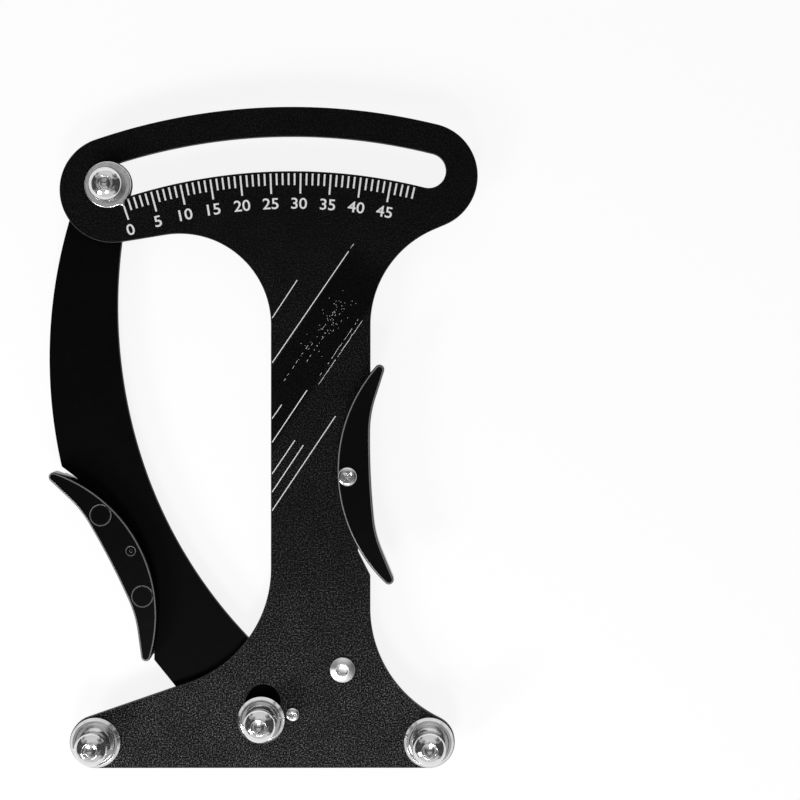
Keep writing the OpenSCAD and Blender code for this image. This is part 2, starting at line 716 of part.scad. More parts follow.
module middle_post_screw() {
    head_level = moving_front + flange_t + middle_post_h;
    color("#dcdddf") translate([middle_spot.x, middle_spot.y, head_level])
        button_screw(0.4 - head_level);
}

module arm_washer(spot) {
    color("#b9bbbd") translate([spot.x, spot.y, 0])
        tube(washer_r, screw_r + hole_fit, arm_back - washer_t, arm_back);
}

module middle_washer() { arm_washer(middle_spot); }
module pointer_washer() { arm_washer(pointer_spot); }
module middle_nut() { color("#c6c8ca") translate(middle_spot) lock_nut(); }
module pointer_nut() { color("#c6c8ca") translate(pointer_spot) lock_nut(); }

module slider() {
    color("#e4e2da") translate(pointer_spot)
        tube(slot_half_w - slider_fit, screw_r + running_fit, arm_front, moving_front);
}

// The pointer plate is a disc with a short beak that reads the scale
module pointer_plate() {
    beak = beak_reach * [cos(rest_turn + 180 + beak_turn), sin(rest_turn + 180 + beak_turn)];
    color("#d0d2d4") translate([pointer_spot.x, pointer_spot.y, moving_front]) difference() {
        linear_extrude(pointer_t) union() {
            circle(pointer_r);
            polygon([[0, 0], turned(beak, -acos(pointer_r / beak_reach)) * pointer_r / beak_reach,
                beak, turned(beak, acos(pointer_r / beak_reach)) * pointer_r / beak_reach]);
        }
        translate([0, 0, -cut]) cylinder(r = screw_r + hole_fit, h = pointer_t + 2 * cut);
    }
}

module pointer_collar() {
    low = moving_front + pointer_t;
    color("#d0d2d4") translate(pointer_spot)
        tube(collar_r, screw_r + running_fit, low, low + collar_h);
}

module pointer_screw() {
    head_level = moving_front + pointer_t + collar_h;
    color("#dcdddf") translate([pointer_spot.x, pointer_spot.y, head_level])
        button_screw(0.4 - head_level);
}

module spring_pin() {
    color("#b4b6b8") translate(tail_spot) union() {
        hook_post(hook_neck_r, hook_neck_r + 0.2, 0.6, arm_back);
        translate([0, 0, arm_back - cut]) cylinder(r = 1.5, h = plate_t + cut);
    }
}

module arm_grip() {
    difference() {
        union() {
            translate(arm_grip_spot) rotate(arm_grip_turn)
                grip_body(arm_grip_circles, arm_front);
            color("#0b0b0d") translate([0, 0, arm_back]) linear_extrude(plate_t + cut)
                intersection() {
                    translate(arm_grip_spot) rotate(arm_grip_turn) face(arm_grip_circles);
                    arm_pocket(core_fit, 0);
                }
        }
        translate([arm_screw_spot.x, arm_screw_spot.y, arm_back])
            cylinder(r = grip_screw_r + hole_fit, h = plate_t + grip_h + cut);
    }
}

// This screw comes from behind, and its end stands just inside the grip's front
module arm_grip_screw() {
    color("#dcdddf") translate([arm_screw_spot.x, arm_screw_spot.y, arm_back]) mirror([0, 0, 1])
        cross_screw(grip_screw_r, grip_head_r, 1.3, 0.6 - plate_t - grip_h);
}

frame_plate();
left_post();
right_post();
left_post_screw();
right_post_screw();
left_washer();
right_washer();
left_cap_nut();
right_cap_nut();
pivot_bush();
pivot_screw();
thrust_washer();
spring_post();
spring_post_screw();
return_spring();
frame_grip();
frame_grip_screw();
frame_grip_nut();
arm_plate();
middle_post();
middle_post_screw();
middle_washer();
middle_nut();
slider();
pointer_plate();
pointer_collar();
pointer_screw();
pointer_washer();
pointer_nut();
spring_pin();
arm_grip();
arm_grip_screw();
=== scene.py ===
# %% [markdown]
# # A spoke tension meter, dressed for the camera
#
# The tool is a flat black frame with a curved scale, a lever arm behind it, three steel posts
# that grip a bicycle spoke, a pointer in the scale's slot, two crescent grips and a pull
# spring at the back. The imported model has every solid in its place. Here each one gets a
# finer surface and a finish: rounded edges that catch the light, turned steel, moulded
# plastic, powder coat and white print.
#
# All lengths are in millimetres until a surface is put into its mesh. The pivot's axis is
# the origin, X runs to the right, Y up the tool and Z towards the camera.

import math

import bmesh
import bpy
import numpy as np
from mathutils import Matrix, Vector
from mathutils.geometry import tessellate_polygon


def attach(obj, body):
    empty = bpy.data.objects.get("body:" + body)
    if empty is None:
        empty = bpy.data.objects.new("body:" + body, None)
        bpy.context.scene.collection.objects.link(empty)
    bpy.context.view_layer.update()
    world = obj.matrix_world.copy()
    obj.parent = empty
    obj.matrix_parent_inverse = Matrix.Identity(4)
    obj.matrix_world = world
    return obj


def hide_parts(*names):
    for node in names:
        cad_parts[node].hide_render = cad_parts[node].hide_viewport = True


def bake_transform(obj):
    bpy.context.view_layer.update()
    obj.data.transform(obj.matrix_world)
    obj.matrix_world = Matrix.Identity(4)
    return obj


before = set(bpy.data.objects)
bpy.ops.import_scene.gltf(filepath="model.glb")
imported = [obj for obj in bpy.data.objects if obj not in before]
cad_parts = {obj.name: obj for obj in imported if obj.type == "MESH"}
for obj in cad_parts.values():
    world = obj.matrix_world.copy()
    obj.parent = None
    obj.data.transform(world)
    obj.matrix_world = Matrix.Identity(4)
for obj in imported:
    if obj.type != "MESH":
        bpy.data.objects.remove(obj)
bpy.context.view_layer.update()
MM = 0.001

# %% [markdown]
# ## The tool's own sizes
#
# These are the places and levels of the solids, measured from the pivot and from the plane
# of the rear nuts. The arm is the rear plate and the frame the front one, half a millimetre
# apart. Every surface below is placed with them, so each is written once.

# %% Places and levels
LEFT, RIGHT = np.array([-63.802, -9.1]), np.array([44.098, -9.1])
MIDDLE, PIVOT = np.array([-10.202, -1.744]), np.array([0.0, 0.0])
SPRING_POST, SPRING_PIN = np.array([16.1, 14.4]), np.array([27.5, -1.5])
FRAME_GRIP_SCREW, ARM_GRIP_SCREW = np.array([17.81, 77.61]), np.array([-51.94, 53.34])
SCALE_R, REST_TURN, SQUEEZE = 181.4, 109.2, 33.2
ARM_BACK, ARM_FRONT = 6.0, 8.5
FRAME_BACK, FRAME_FRONT, MOVING_FRONT = 9.0, 11.5, 11.8
SPRING_LEVEL = 2.9
BORE_R, HOLE_R, SLOT_R, GRIP_HOLE_R = 3.05, 3.1, 5.6, 1.7


def polar(radius, turn):
    """The point (radius cos turn, radius sin turn), with turn in degrees."""
    t = np.radians(turn)
    return np.stack([radius * np.cos(t), radius * np.sin(t)], -1)


def placed(points, spot, turn):
    """Points turned by an angle in degrees about the origin, then moved to a spot."""
    c, s = math.cos(math.radians(turn)), math.sin(math.radians(turn))
    x, y = points[..., 0], points[..., 1]
    return np.stack([spot[0] + c * x - s * y, spot[1] + s * x + c * y], -1)


POINTER = polar(SCALE_R, REST_TURN)
print("pointer at", POINTER.round(2), "mm from the pivot")

# %% [markdown]
# ## From a grid of points to a piece
#
# A surface is a grid of points: rows of points, each row a closed ring. Neighbouring rows
# are joined with four-sided faces. Several such skins and flat faces are stacked into one
# mesh, and the points that coincide are welded. That also closes the poles, where a whole
# ring has shrunk to one point. The mesh keeps its place in its vertices and its object
# stays at the origin.

# %% Skins, flat faces and pieces
WELD = 2e-7


def skin(grid, loop_rows=False, inside_out=False):
    """Faces between the rows of a grid of points shaped (rows, ring, 3): point (i, k) is
    joined to (i, k+1), (i+1, k+1) and (i+1, k). Each ring is closed, and so are the rows
    themselves where loop_rows is true."""
    rows, ring = grid.shape[:2]
    i = np.arange(rows if loop_rows else rows - 1)[:, None]
    k = np.arange(ring)[None, :]
    below, above, after = i * ring, ((i + 1) % rows) * ring, (k + 1) % ring
    quads = np.stack([below + k, below + after, above + after, above + k], -1).reshape(-1, 4)
    return grid.reshape(-1, 3), (quads[:, ::-1] if inside_out else quads).tolist()


def flat(loops, level, face_up=True):
    """A flat face at one level, bounded by its first loop and open where the others are."""
    corners = [[Vector((x, y, 0)) for x, y in loop] for loop in loops]
    tris = np.array(tessellate_polygon(corners))
    xy = np.concatenate(loops)
    a, b, c = xy[tris[:, 0]], xy[tris[:, 1]], xy[tris[:, 2]]
    area = (b - a)[:, 0] * (c - a)[:, 1] - (b - a)[:, 1] * (c - a)[:, 0]
    wrong = (area > 0) != face_up
    tris[wrong] = tris[wrong][:, ::-1]
    tris = tris[np.abs(area) > 1e-9]
    return np.column_stack([xy, np.full(len(xy), level)]), tris.tolist()


def put(name, data):
    """A new object with this data in the scene."""
    made = bpy.data.objects.new(name, data)
    bpy.context.scene.collection.objects.link(made)
    return made


def piece(name, skins, finish, body, stands_for=(), sharp=38):
    """Stacks skins and flats into one welded mesh and gives it a finish and a body."""
    points = np.concatenate([p for p, _ in skins]) * MM
    starts = np.cumsum([0] + [len(p) for p, _ in skins])
    faces = [[n + start for n in f] for (_, fs), start in zip(skins, starts) for f in fs]
    mesh = bpy.data.meshes.new(name)
    mesh.from_pydata(points.tolist(), [], faces)
    work = bmesh.new()
    work.from_mesh(mesh)
    bmesh.ops.remove_doubles(work, verts=work.verts, dist=WELD)
    bmesh.ops.dissolve_degenerate(work, edges=work.edges, dist=1e-8)
    open_edges = sum(not e.is_manifold for e in work.edges)
    volume = work.calc_volume(signed=True) * 1e9
    work.to_mesh(mesh)
    work.free()
    mesh.polygons.foreach_set("use_smooth", np.ones(len(mesh.polygons), bool))
    mesh.set_sharp_from_angle(angle=math.radians(sharp))
    mesh.materials.append(finish)
    made = put(name, mesh)
    if body:
        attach(made, body)
    if stands_for:
        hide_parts(*stands_for)
    print(f"{name}: {len(mesh.polygons)} faces, {volume:.0f} mm3, {open_edges} open edges")
    return made


# %% [markdown]
# ## Outlines made of arcs
#
# The plates and grips are cut from a chain of arcs. The edge runs round one circle and along
# the line that touches it and the next. A positive radius makes a rounded corner and a
# negative one a hollow. A filled curve object could give the same outline, but with signed
# radii an inset is simple: taking the same amount off every radius moves the whole edge
# inwards by that amount, as a rounded rim needs.

# %% Chains of circles
SAME_SPOT, SAME_WAY = 0.008, 0.002


def unit(vectors):
    """A vector, or each row of an array of them, over its length."""
    return vectors / np.maximum(np.linalg.norm(vectors, axis=-1, keepdims=True), 1e-9)


def heading(a, b):
    """The way along the line that touches circle a and then circle b: the way between their
    centres, turned by the arcsine of the difference of the signed radii over their distance."""
    d = b[:, :2] - a[:, :2]
    gap = np.maximum(np.hypot(d[:, 0], d[:, 1]), 1e-9)
    return np.arctan2(d[:, 1], d[:, 0]) + np.arcsin(np.clip((a[:, 2] - b[:, 2]) / gap, -1, 1))


def outline(circles, inset=0.0):
    """Points round a chain of circles [x, y, signed radius, steps], anticlockwise. On each
    circle the angle goes evenly from where the edge arrives to where it leaves."""
    c = np.array(circles, float)
    arrive, leave = heading(np.roll(c, 1, 0), c), heading(c, np.roll(c, -1, 0))
    hollow = c[:, 2] < 0
    turn = np.where(hollow, arrive - leave, leave - arrive) % (2 * np.pi)
    turn = np.where(turn > 2 * np.pi - SAME_WAY, 0, turn) * np.where(hollow, -1, 1)
    first = arrive + np.where(hollow, 1, -1) * np.pi / 2
    steps = c[:, 3].astype(int)
    which = np.repeat(np.arange(len(c)), steps + 1)
    share = np.concatenate([np.linspace(0, 1, n + 1) for n in steps])
    angle = first[which] + turn[which] * share
    radius = np.abs(c[:, 2] - inset)[which]
    return c[which, :2] + radius[:, None] * np.stack([np.cos(angle), np.sin(angle)], -1)


def loop_of(circles):
    """A function of the inset that gives the chain's points without repeated ones."""
    base = outline(circles)
    keep = np.linalg.norm(base - np.roll(base, 1, 0), axis=1) > SAME_SPOT
    return lambda inset=0.0: outline(circles, inset)[keep]


def hole(spot, radius, steps=64):
    """A round hole as a function of the inset."""
    t = np.arange(steps) * 360 / steps
    return lambda inset=0.0: spot + polar(radius - inset, t)


def corner(before, at, after, radius):
    """The circle that rounds a corner between two straight edges. It is a hollow, with a
    negative radius, where the edge turns to the right."""
    a, b = unit(np.subtract(before, at)), unit(np.subtract(after, at))
    half = math.acos(np.clip(a @ b, -1, 1)) / 2
    centre = at + unit(a + b) * radius / math.sin(half)
    sign = 1 if a[1] * b[0] - a[0] * b[1] > 0 else -1
    return [*centre, sign * radius, 4]


def corners(points, radii):
    """The circles that round the corners at all points but the first and the last."""
    return [corner(*points[n:n + 3], radius) for n, radius in enumerate(radii)]


def arc_slot(radius, high_turn, steps):
    """A slot along a circle about the pivot: end, outer edge, end, inner edge."""
    a, b = polar(radius, high_turn - SQUEEZE), polar(radius, high_turn)
    return [[*a, SLOT_R, 24], [0, 0, radius + SLOT_R, steps],
            [*b, SLOT_R, 24], [0, 0, SLOT_R - radius, steps]]


# %% [markdown]
# ## The two plates
#
# Each plate is punched from 2.5 mm sheet and then coated, so its rim is slightly rounded:
# a quarter circle, a short wall and another quarter circle, carried along each loop of the
# outline. Just inside the rim one more ring lies flat, which keeps the shading of the large
# faces even. A Bevel modifier would do it too, but this way the rounding follows the
# hollows exactly and the mesh stays small.


# %% Rims and plates
FLAT_RING = 0.04


def rim_levels(low, high, rounding):
    """Pairs (inset, height) up a rim: inset = rounding (1 - sin t) while the height rises by
    rounding (1 - cos t), and the same turned over at the top."""
    t = np.linspace(np.pi / 2, 0, 5)
    up = np.column_stack([rounding * (1 - np.cos(t)), low + rounding * (1 - np.sin(t))])
    up = np.vstack([[rounding + FLAT_RING, low], up])
    down = np.column_stack([up[::-1, 0], low + high - up[::-1, 1]])
    return np.vstack([up, down])


def wall(loop, levels, is_hole=False):
    """A rim: the loop's points at each pair (inset, height). A hole's rim faces inwards."""
    sign = -1 if is_hole else 1
    rings = [np.column_stack([(p := loop(sign * inset)), np.full(len(p), z)])
             for inset, z in levels]
    return skin(np.array(rings), inside_out=is_hole)


def plate(outer, holes, low, high, rounding=0.28):
    """The skins of a plate with rounded edges: a rim for each loop and two flat faces."""
    levels = rim_levels(low, high, rounding)
    edge = levels[0, 0]
    loops = [outer(edge)] + [h(-edge) for h in holes]
    return ([wall(outer, levels)] + [wall(h, levels, True) for h in holes]
            + [flat(loops, low, False), flat(loops, high, True)])


# %% Outline of the frame
NECK_RIGHT, SLOPE_ANGLE = 25.1, math.radians(27)
SLOPE = 1 / math.tan(SLOPE_ANGLE)
FRAME_POCKET = (np.array([NECK_RIGHT, FRAME_GRIP_SCREW[1]]), 90), 32.8, 4.0


def pocket(place, half, deep):
    """The corners of a grip's pocket, mouth, floor, floor and mouth. Its two ends slope: a
    step of 1 inwards goes with one of SLOPE along the edge."""
    floor = half - deep * SLOPE
    return [placed(np.array([u, v]), *place)
            for u, v in ((-half, 0.0), (-floor, deep), (floor, deep), (half, 0.0))]


frame_chain = [
    [*LEFT, 8.4, 40], [*RIGHT, 8.4, 40], [64.7, 34.3, -39.6, 48],
    *corners([(NECK_RIGHT, 34), *pocket(*FRAME_POCKET), (NECK_RIGHT, 120)],
             (0.4, 0.25, 0.25, 0.4)),
    [58.8, 126.0, -33.7, 48], [*polar(179.5, 76.25), 17.1, 48], [0, 0, 196.59, 90],
    [*polar(179.5, 108.95), 17.1, 48], [-36.7, 126.0, -29.6, 48], [-46.4, 47.4, -39.3, 48]]
frame_loop = loop_of(frame_chain)
frame_holes = [loop_of(arc_slot(SCALE_R, REST_TURN, 80)), loop_of(arc_slot(10.35, 189.7, 24)),
               hole(LEFT, HOLE_R), hole(RIGHT, HOLE_R), hole(PIVOT, 1.35, 32),
               hole(SPRING_POST, 2.1, 40), hole(FRAME_GRIP_SCREW, GRIP_HOLE_R, 32)]
print("frame outline:", len(frame_loop()), "points, box", np.ptp(frame_loop(), 0).round(1))

# %% Outline of the arm
ARM_POCKET = (np.array([-60.5, 48.7]), 295.7), 35.1, 5.0
OUTER_CENTRE, OUTER_R = np.array([79.163, 115.077]), 158.4


def corner_on_arc(mouth, floor, radius):
    """The circle that rounds the corner where the outer arc meets the pocket's upper slope.
    It touches both from inside, so its centre lies one radius beside the slope, and at the
    arc's radius less its own from the arc's centre."""
    along = unit(floor - mouth)
    start = mouth + radius * np.array([-along[1], along[0]]) - OUTER_CENTRE
    b, c = start @ along, start @ start - (OUTER_R - radius) ** 2
    reach = min((-b + sign * math.sqrt(b * b - c) for sign in (-1, 1)), key=abs)
    return [*(OUTER_CENTRE + start + reach * along), radius, 4]


arm_pocket = pocket(*ARM_POCKET)
arm_chain = [
    [-60.356, 171.510, 7.9, 40], [*OUTER_CENTRE, OUTER_R, 60],
    corner_on_arc(*arm_pocket[:2], 0.4),
    *corners([*arm_pocket, (-22.6, -11)], (0.25, 0.25, 0.4)), [-14.0, -1.04, 13, 32],
    [*SPRING_PIN, 4.6, 28], [16.5, 11.1, -10, 24],
    [94.258, 128.601, -150.9, 60], [104.134, 131.867, -161.3, 60]]
arm_loop = loop_of(arm_chain)
arm_holes = [hole(PIVOT, BORE_R), hole(MIDDLE, HOLE_R), hole(POINTER, HOLE_R),
             hole(SPRING_PIN, 1.55, 32), hole(ARM_GRIP_SCREW, GRIP_HOLE_R, 32)]
print("arm outline:", len(arm_loop()), "points, box", np.ptp(arm_loop(), 0).round(1))

# %% [markdown]
# ## Finishes
#
# Every finish is a Principled shader whose colour, roughness and bump come from noise on
# Object coordinates, so a pattern stays where it is when a part turns. Pictures could be
# wrapped round the pieces instead, but noise needs no file and is as fine close up. A value
# that is the same all over is set on the shader itself. `Wiring` and `Finish` only shorten
# the work of adding and linking nodes.


# %% Shader helpers
class Wiring:
    """Short ways to add nodes to a node tree. Each gives back an output socket, and xyz
    gives three, by name."""

    def __init__(self, tree):
        self.tree = tree

    def add(self, kind, inputs=None, out=0, **settings):
        """Adds a node, sets its options, and fills or links its inputs."""
        made = self.tree.nodes.new("ShaderNode" + kind)
        for key, value in settings.items():
            setattr(made, key, value)
        for key, value in (inputs or {}).items():
            if isinstance(value, bpy.types.NodeSocket):
                self.tree.links.new(value, made.inputs[key])
            else:
                made.inputs[key].default_value = value
        return made.outputs[out] if made.outputs else None

    def grain(self, size, detail=2.0, rough=0.5):
        """Noise whose lumps are about size millimetres across, from 0 to 1."""
        return self.add("TexNoise", {"Vector": self.add("TexCoord", out="Object"),
                                     "Scale": 1 / (size * MM), "Detail": detail,
                                     "Roughness": rough}, "Fac")

    def ramp(self, value, *stops):
        """A colour ramp with stops (place, (r, g, b)) or (place, grey)."""
        colour = self.add("ValToRGB", {"Fac": value}, "Color")
        points = colour.node.color_ramp.elements
        for n, (place, tone) in enumerate(stops):
            stop = points[n] if n < 2 else points.new(place)
            stop.position = place
            stop.color = (*(tone if isinstance(tone, tuple) else (tone,) * 3), 1)
        return colour

    def spread(self, value, low, high, to_low, to_high, smooth=False):
        """A value from low to high stretched to the range from to_low to to_high."""
        return self.add("MapRange", {"Value": value, "From Min": low, "From Max": high,
                                     "To Min": to_low, "To Max": to_high},
                        interpolation_type="SMOOTHSTEP" if smooth else "LINEAR")

    def maths(self, operation, a, b=0.0):
        """One sum of two values."""
        return self.add("Math", {0: a, 1: b}, operation=operation)

    def times(self, first, *others):
        """The product of two or more values."""
        for other in others:
            first = self.maths("MULTIPLY", first, other)
        return first

    def xyz(self, vector):
        """The three parts of a vector."""
        return self.add("SeparateXYZ", {"Vector": vector}).node.outputs


# %% A finish and its surface
class Finish(Wiring):
    """A new material with one value set on a socket of its shader."""

    def __init__(self, name, socket, value):
        self.material = bpy.data.materials.new(name)
        self.material.use_nodes = True
        super().__init__(self.material.node_tree)
        self.shader = self.tree.nodes["Principled BSDF"]
        self.shader.inputs[socket].default_value = value

    def surface(self, colour, rough, height, depth, strength=1.0):
        """The material, with its colour and roughness wired and its surface raised by depth
        millimetres where height is 1."""
        bump = self.add("Bump", {"Height": height, "Distance": depth * MM,
                                 "Strength": strength})
        for key, value in (("Base Color", colour), ("Roughness", rough), ("Normal", bump)):
            self.tree.links.new(value, self.shader.inputs[key])
        return self.material

    def bright_rim(self, colour, grey, start=(0.1, 0.4), end=(0.8, 0.97)):
        """A colour that turns to a grey, a painted highlight, on the rounded part of a rim, where
        the normal's upward part is neither near 0, as on a wall, nor near 1, as on a flat face.
        It fades in over start and out over end."""
        up = self.maths("ABSOLUTE", self.xyz(self.add("TexCoord", out="Normal"))["Z"])
        share = self.times(self.spread(up, *start, 0, 1, True),
                           self.spread(up, *end, 1, 0, True))
        return self.add("Mix", {0: share, 6: colour, 7: (grey, grey, grey, 1)}, 2,
                        data_type="RGBA")


# %% [markdown]
# ### Powder coat and satin coat
#
# The frame has a textured powder coat: a black skin with a grain of about half a
# millimetre. The grey specks are painted highlights on the grain, and a painted sheen
# makes them paler towards the foot. On a rounded edge a grey is painted in as a highlight,
# and a mask from the upward part of the normal finds those edges. A broad diagonal band
# across the neck is printed in smoother black. A Mapping node turns the coordinates until
# the band runs along X, and its two edges are then steps in Y. The arm has a finer,
# smoother black.

# %% Coats of the plates
STRIPE_TURN, BAND_EDGE, BAND_WIDE = 55.6, 69.8, 17

coat = Finish("frame_powder_coat", "Specular IOR Level", 0.06)
plain = coat.add("TexCoord", out="Object")
turned = coat.xyz(coat.add("Mapping", {"Vector": plain,
                                       "Rotation": (0, 0, -math.radians(STRIPE_TURN))}))
across, along = (coat.times(turned[key], 1 / MM) for key in "YX")
in_band = coat.times(
    coat.spread(across, BAND_EDGE - 0.9, BAND_EDGE - 0.4, 1, 0, True),
    coat.spread(across, BAND_EDGE - BAND_WIDE, BAND_EDGE - BAND_WIDE + 2.5, 0, 1, True),
    coat.spread(along, 128, 142, 1, 0, True))
rough_share = coat.spread(in_band, 0, 1, 1.0, 0.3)
specks = coat.grain(0.46, 2.0, 0.7)
# Painted highlights on the grain, with a painted sheen that grows towards the foot.
painted_foot_sheen = coat.ramp(coat.spread(coat.xyz(plain)["Y"], -0.02, 0.2, 0, 1),
                   (0.1, 1.0), (0.36, 0.36), (0.85, 0.1))
tops = coat.times(coat.spread(specks, 0.5, 0.7, 0.0, 1.0), rough_share, painted_foot_sheen,
                  coat.spread(coat.grain(9.0), 0.3, 0.7, 0.75, 1.15))
# The frame's rounded edges get a grey painted highlight.
frame_coat = coat.surface(
    coat.bright_rim(coat.ramp(tops, (0.0, 0.0006), (1.0, 0.19)), 0.07),
    coat.spread(specks, 0.3, 0.7, 0.46, 0.3), coat.times(specks, rough_share), 0.3)

coat = Finish("arm_satin_coat", "Specular IOR Level", 0.05)
specks = coat.grain(0.35, 2.0, 0.6)
black = coat.ramp(coat.spread(specks, 0.5, 0.8, 0.0, 1.0),
                  (0.0, 0.0009), (0.5, 0.0016), (1.0, 0.008))
# The arm's rounded edges get a faint grey painted highlight.
arm_coat = coat.surface(coat.bright_rim(black, 0.03),
                        coat.spread(coat.grain(6.0), 0.3, 0.7, 0.42, 0.5), specks, 0.02, 0.5)

# %% Frame plate and arm plate
piece("frame_plate_coated", plate(frame_loop, frame_holes, FRAME_BACK, FRAME_FRONT),
      frame_coat, "frame", ["frame_plate"])
piece("arm_plate_coated", plate(arm_loop, arm_holes, ARM_BACK, ARM_FRONT),
      arm_coat, "arm", ["arm_plate"])

# %% [markdown]
# ### Turned steel
#
# Posts, pointer and screws are turned or cold-formed and then plated bright. Turning leaves
# fine rings about the piece's own axis. A Mapping node moves that axis to the origin, and a
# ring wave there gives a bump far too shallow to see as steps, which only stretches the
# highlights. Soft noise in the roughness stands for handling marks. Each piece gets a finish
# of its own, because each has its own centre.

# %% Metal finish
RING_GAP, RING_DEPTH = 0.9, 0.0006


def turned_metal(name, spot, grey, rough, tint=(1, 1, 1)):
    """Bright metal with rings about an upright axis at a spot."""
    metal = Finish(name, "Metallic", 1.0)
    centred = metal.add("Mapping", {"Vector": metal.add("TexCoord", out="Object"),
                                    "Location": (-spot[0] * MM, -spot[1] * MM, 0)})
    wave = metal.add("TexWave", {"Vector": centred, "Scale": 0.1 * np.pi / (RING_GAP * MM),
                                 "Distortion": 0.4, "Detail": 1.0}, "Fac",
                     wave_type="RINGS", rings_direction="Z")
    marks = metal.grain(1.6, 4.0, 0.6)
    low, high = (tuple(grey * share * t for t in tint) for share in (0.92, 1.0))
    return metal.surface(metal.ramp(marks, (0.3, low), (0.65, high)),
                         metal.spread(marks, 0.3, 0.7, rough * 1.35, rough * 0.8),
                         wave, RING_DEPTH)


# %% [markdown]
# ## Turned pieces
#
# A turned piece is a profile of radius and height carried round an axis. The corners of a
# real profile are broken with a small radius, and those narrow bands carry most of its
# highlights. `rounded` puts an arc into each corner, and a spare point just outside each
# end of the arc keeps the flats flat. `stack` carries the rows round. The Screw modifier
# could do that for a plain round piece, but here a row may give its radius and height as
# functions of the angle, which is all that a hexagon or a cross recess needs.

# %% Profiles and rings
AROUND, SPARE = np.arange(96) * 2 * np.pi / 96, 0.02


def rounded(points, radii, closed=False, steps=4):
    """A profile with an arc in each corner. The arc touches both sides at radius / tan of
    half the corner's angle from it, and runs between the two touching points as a blend
    of their directions seen from its centre."""
    p, r = np.array(points, float), np.array(radii, float)[:, None]
    inner = slice(None) if closed else slice(1, -1)
    a, b = (unit(np.roll(p, step, 0) - p)[inner] for step in (1, -1))
    half = np.arccos(np.clip((a * b).sum(1, keepdims=True), -1, 0.9999)) / 2
    rr, at = r[inner], p[inner]
    reach = rr / np.tan(half)
    centre = at + unit(a + b) * rr / np.sin(half)
    start, end = at + a * reach - centre, at + b * reach - centre
    sweep = (np.pi - 2 * half)[:, None]
    t = np.linspace(0, 1, steps + 1)[None, :, None]
    arc = (np.sin((1 - t) * sweep) * start[:, None] + np.sin(t * sweep) * end[:, None])
    arc = centre[:, None] + arc / np.maximum(np.sin(sweep), 1e-6)
    keep = SPARE * (rr > 0)
    arc = np.concatenate([(at + a * (reach + keep))[:, None], arc,
                          (at + b * (reach + keep))[:, None]], 1).reshape(-1, 2)
    arc = arc if closed else np.vstack([p[:1], arc, p[-1:]])
    apart = np.linalg.norm(arc - np.roll(arc, 1, 0), axis=1) > 1e-4
    apart[0] = True
    return arc[apart]


def stack(rows, spot, loop_rows=False, angles=AROUND):
    """Rings of x = radius cos t, y = radius sin t about a spot. A row is (radius, height),
    each a number or one value for each angle."""
    ones = np.ones(len(angles))
    r = np.array([row[0] * ones for row in rows])
    z = np.array([row[1] * ones for row in rows])
    x, y = spot[0] + r * np.cos(angles), spot[1] + r * np.sin(angles)
    return skin(np.stack([x, y, z], -1), loop_rows)


def hexagon(width, turn=0.0):
    """Radius of a hexagon: half its width over the cosine of the angle from the nearest
    flat's middle. It has a corner at the given turn, in degrees."""
    t = (AROUND - math.radians(turn)) % (np.pi / 3) - np.pi / 6
    return width / 2 / np.cos(t)


# %% [markdown]
# ## The spoke posts
#
# A post is one turned bush: a bevelled flange that stands on the plate, a low step, and a
# waisted groove in which the spoke lies, an arc that is deepest in the middle. The two
# outer posts stand on the frame. The middle one rides on the arm and reaches through a short
# curved slot in the frame, so its flange hovers just above the coat.

# %% Posts
FLANGE_HIGH, STEP_R, STEP_TOP, WAIST_R, WAIST_DEEP = 1.6, 6.5, 2.1, 4.1, 1.1


def post_profile(base, flange, height, spigot=None):
    """Bore, flange with its bevel, step, waisted groove and top, as one closed profile. The
    groove is an arc of radius (w^2 + d^2) / 2d, from its half width w and its depth d."""
    high = FLANGE_HIGH + height
    half = (high - STEP_TOP) / 2
    groove_r = (half ** 2 + WAIST_DEEP ** 2) / (2 * WAIST_DEEP)
    lean = math.asin(half / groove_r)
    t = np.linspace(-lean, lean, 25)
    waist = np.column_stack([WAIST_R + groove_r * (1 - np.cos(t)),
                             STEP_TOP + half + groove_r * np.sin(t)])
    foot = [(BORE_R, 0), (flange, 0)] if spigot is None else \
        [(BORE_R, spigot - base), (5.0, spigot - base), (5.0, 0), (flange, 0)]
    start = rounded([(BORE_R, high), *foot, (flange, 0.7), (flange - 0.9, FLANGE_HIGH),
                     (STEP_R, FLANGE_HIGH), (STEP_R - 0.25, STEP_TOP), waist[0], waist[1]],
                    [0] + [0.1] * len(foot) + [0.18, 0.14, 0.06, 0.1, 0.05, 0])
    end = rounded([waist[-2], waist[-1], (BORE_R, high), (BORE_R, STEP_TOP)],
                  [0, 0.12, 0.12, 0])
    return np.vstack([start[1:-1], waist[1:-1], end[1:-1]]) + [0, base]


for name, spot, base, flange, height, spigot, body in (
        ("left_post", LEFT, FRAME_FRONT, 8.1, 7.5, None, "frame"),
        ("right_post", RIGHT, FRAME_FRONT, 8.1, 7.5, None, "frame"),
        ("middle_post", MIDDLE, MOVING_FRONT, 7.65, 6.6, ARM_FRONT, "arm")):
    piece(name + "_turned", [stack(post_profile(base, flange, height, spigot), spot, True)],
          turned_metal(name + "_nickel", spot, 0.70, 0.12), body, [name])

# %% [markdown]
# ## Screws
#
# The large screws have domed button heads with a hexagon socket. The dome is part of a
# sphere from the rim to a flat land, so nowhere is it quite level or upright, and its sides
# mirror the low sky in broad crescents. The socket starts with a small round chamfer, goes
# down as a hexagon and ends in the cone that the drill left. The small screws have a cross
# recess. Its edge is the outline of two crossed bars, given as a radius for each angle, and
# the angles are chosen so that the bars' corners fall exactly on points.

# %% Screws
HEAD_R, HEAD_FOOT, HEAD_TOP = 5.2, 1.5, 3.3


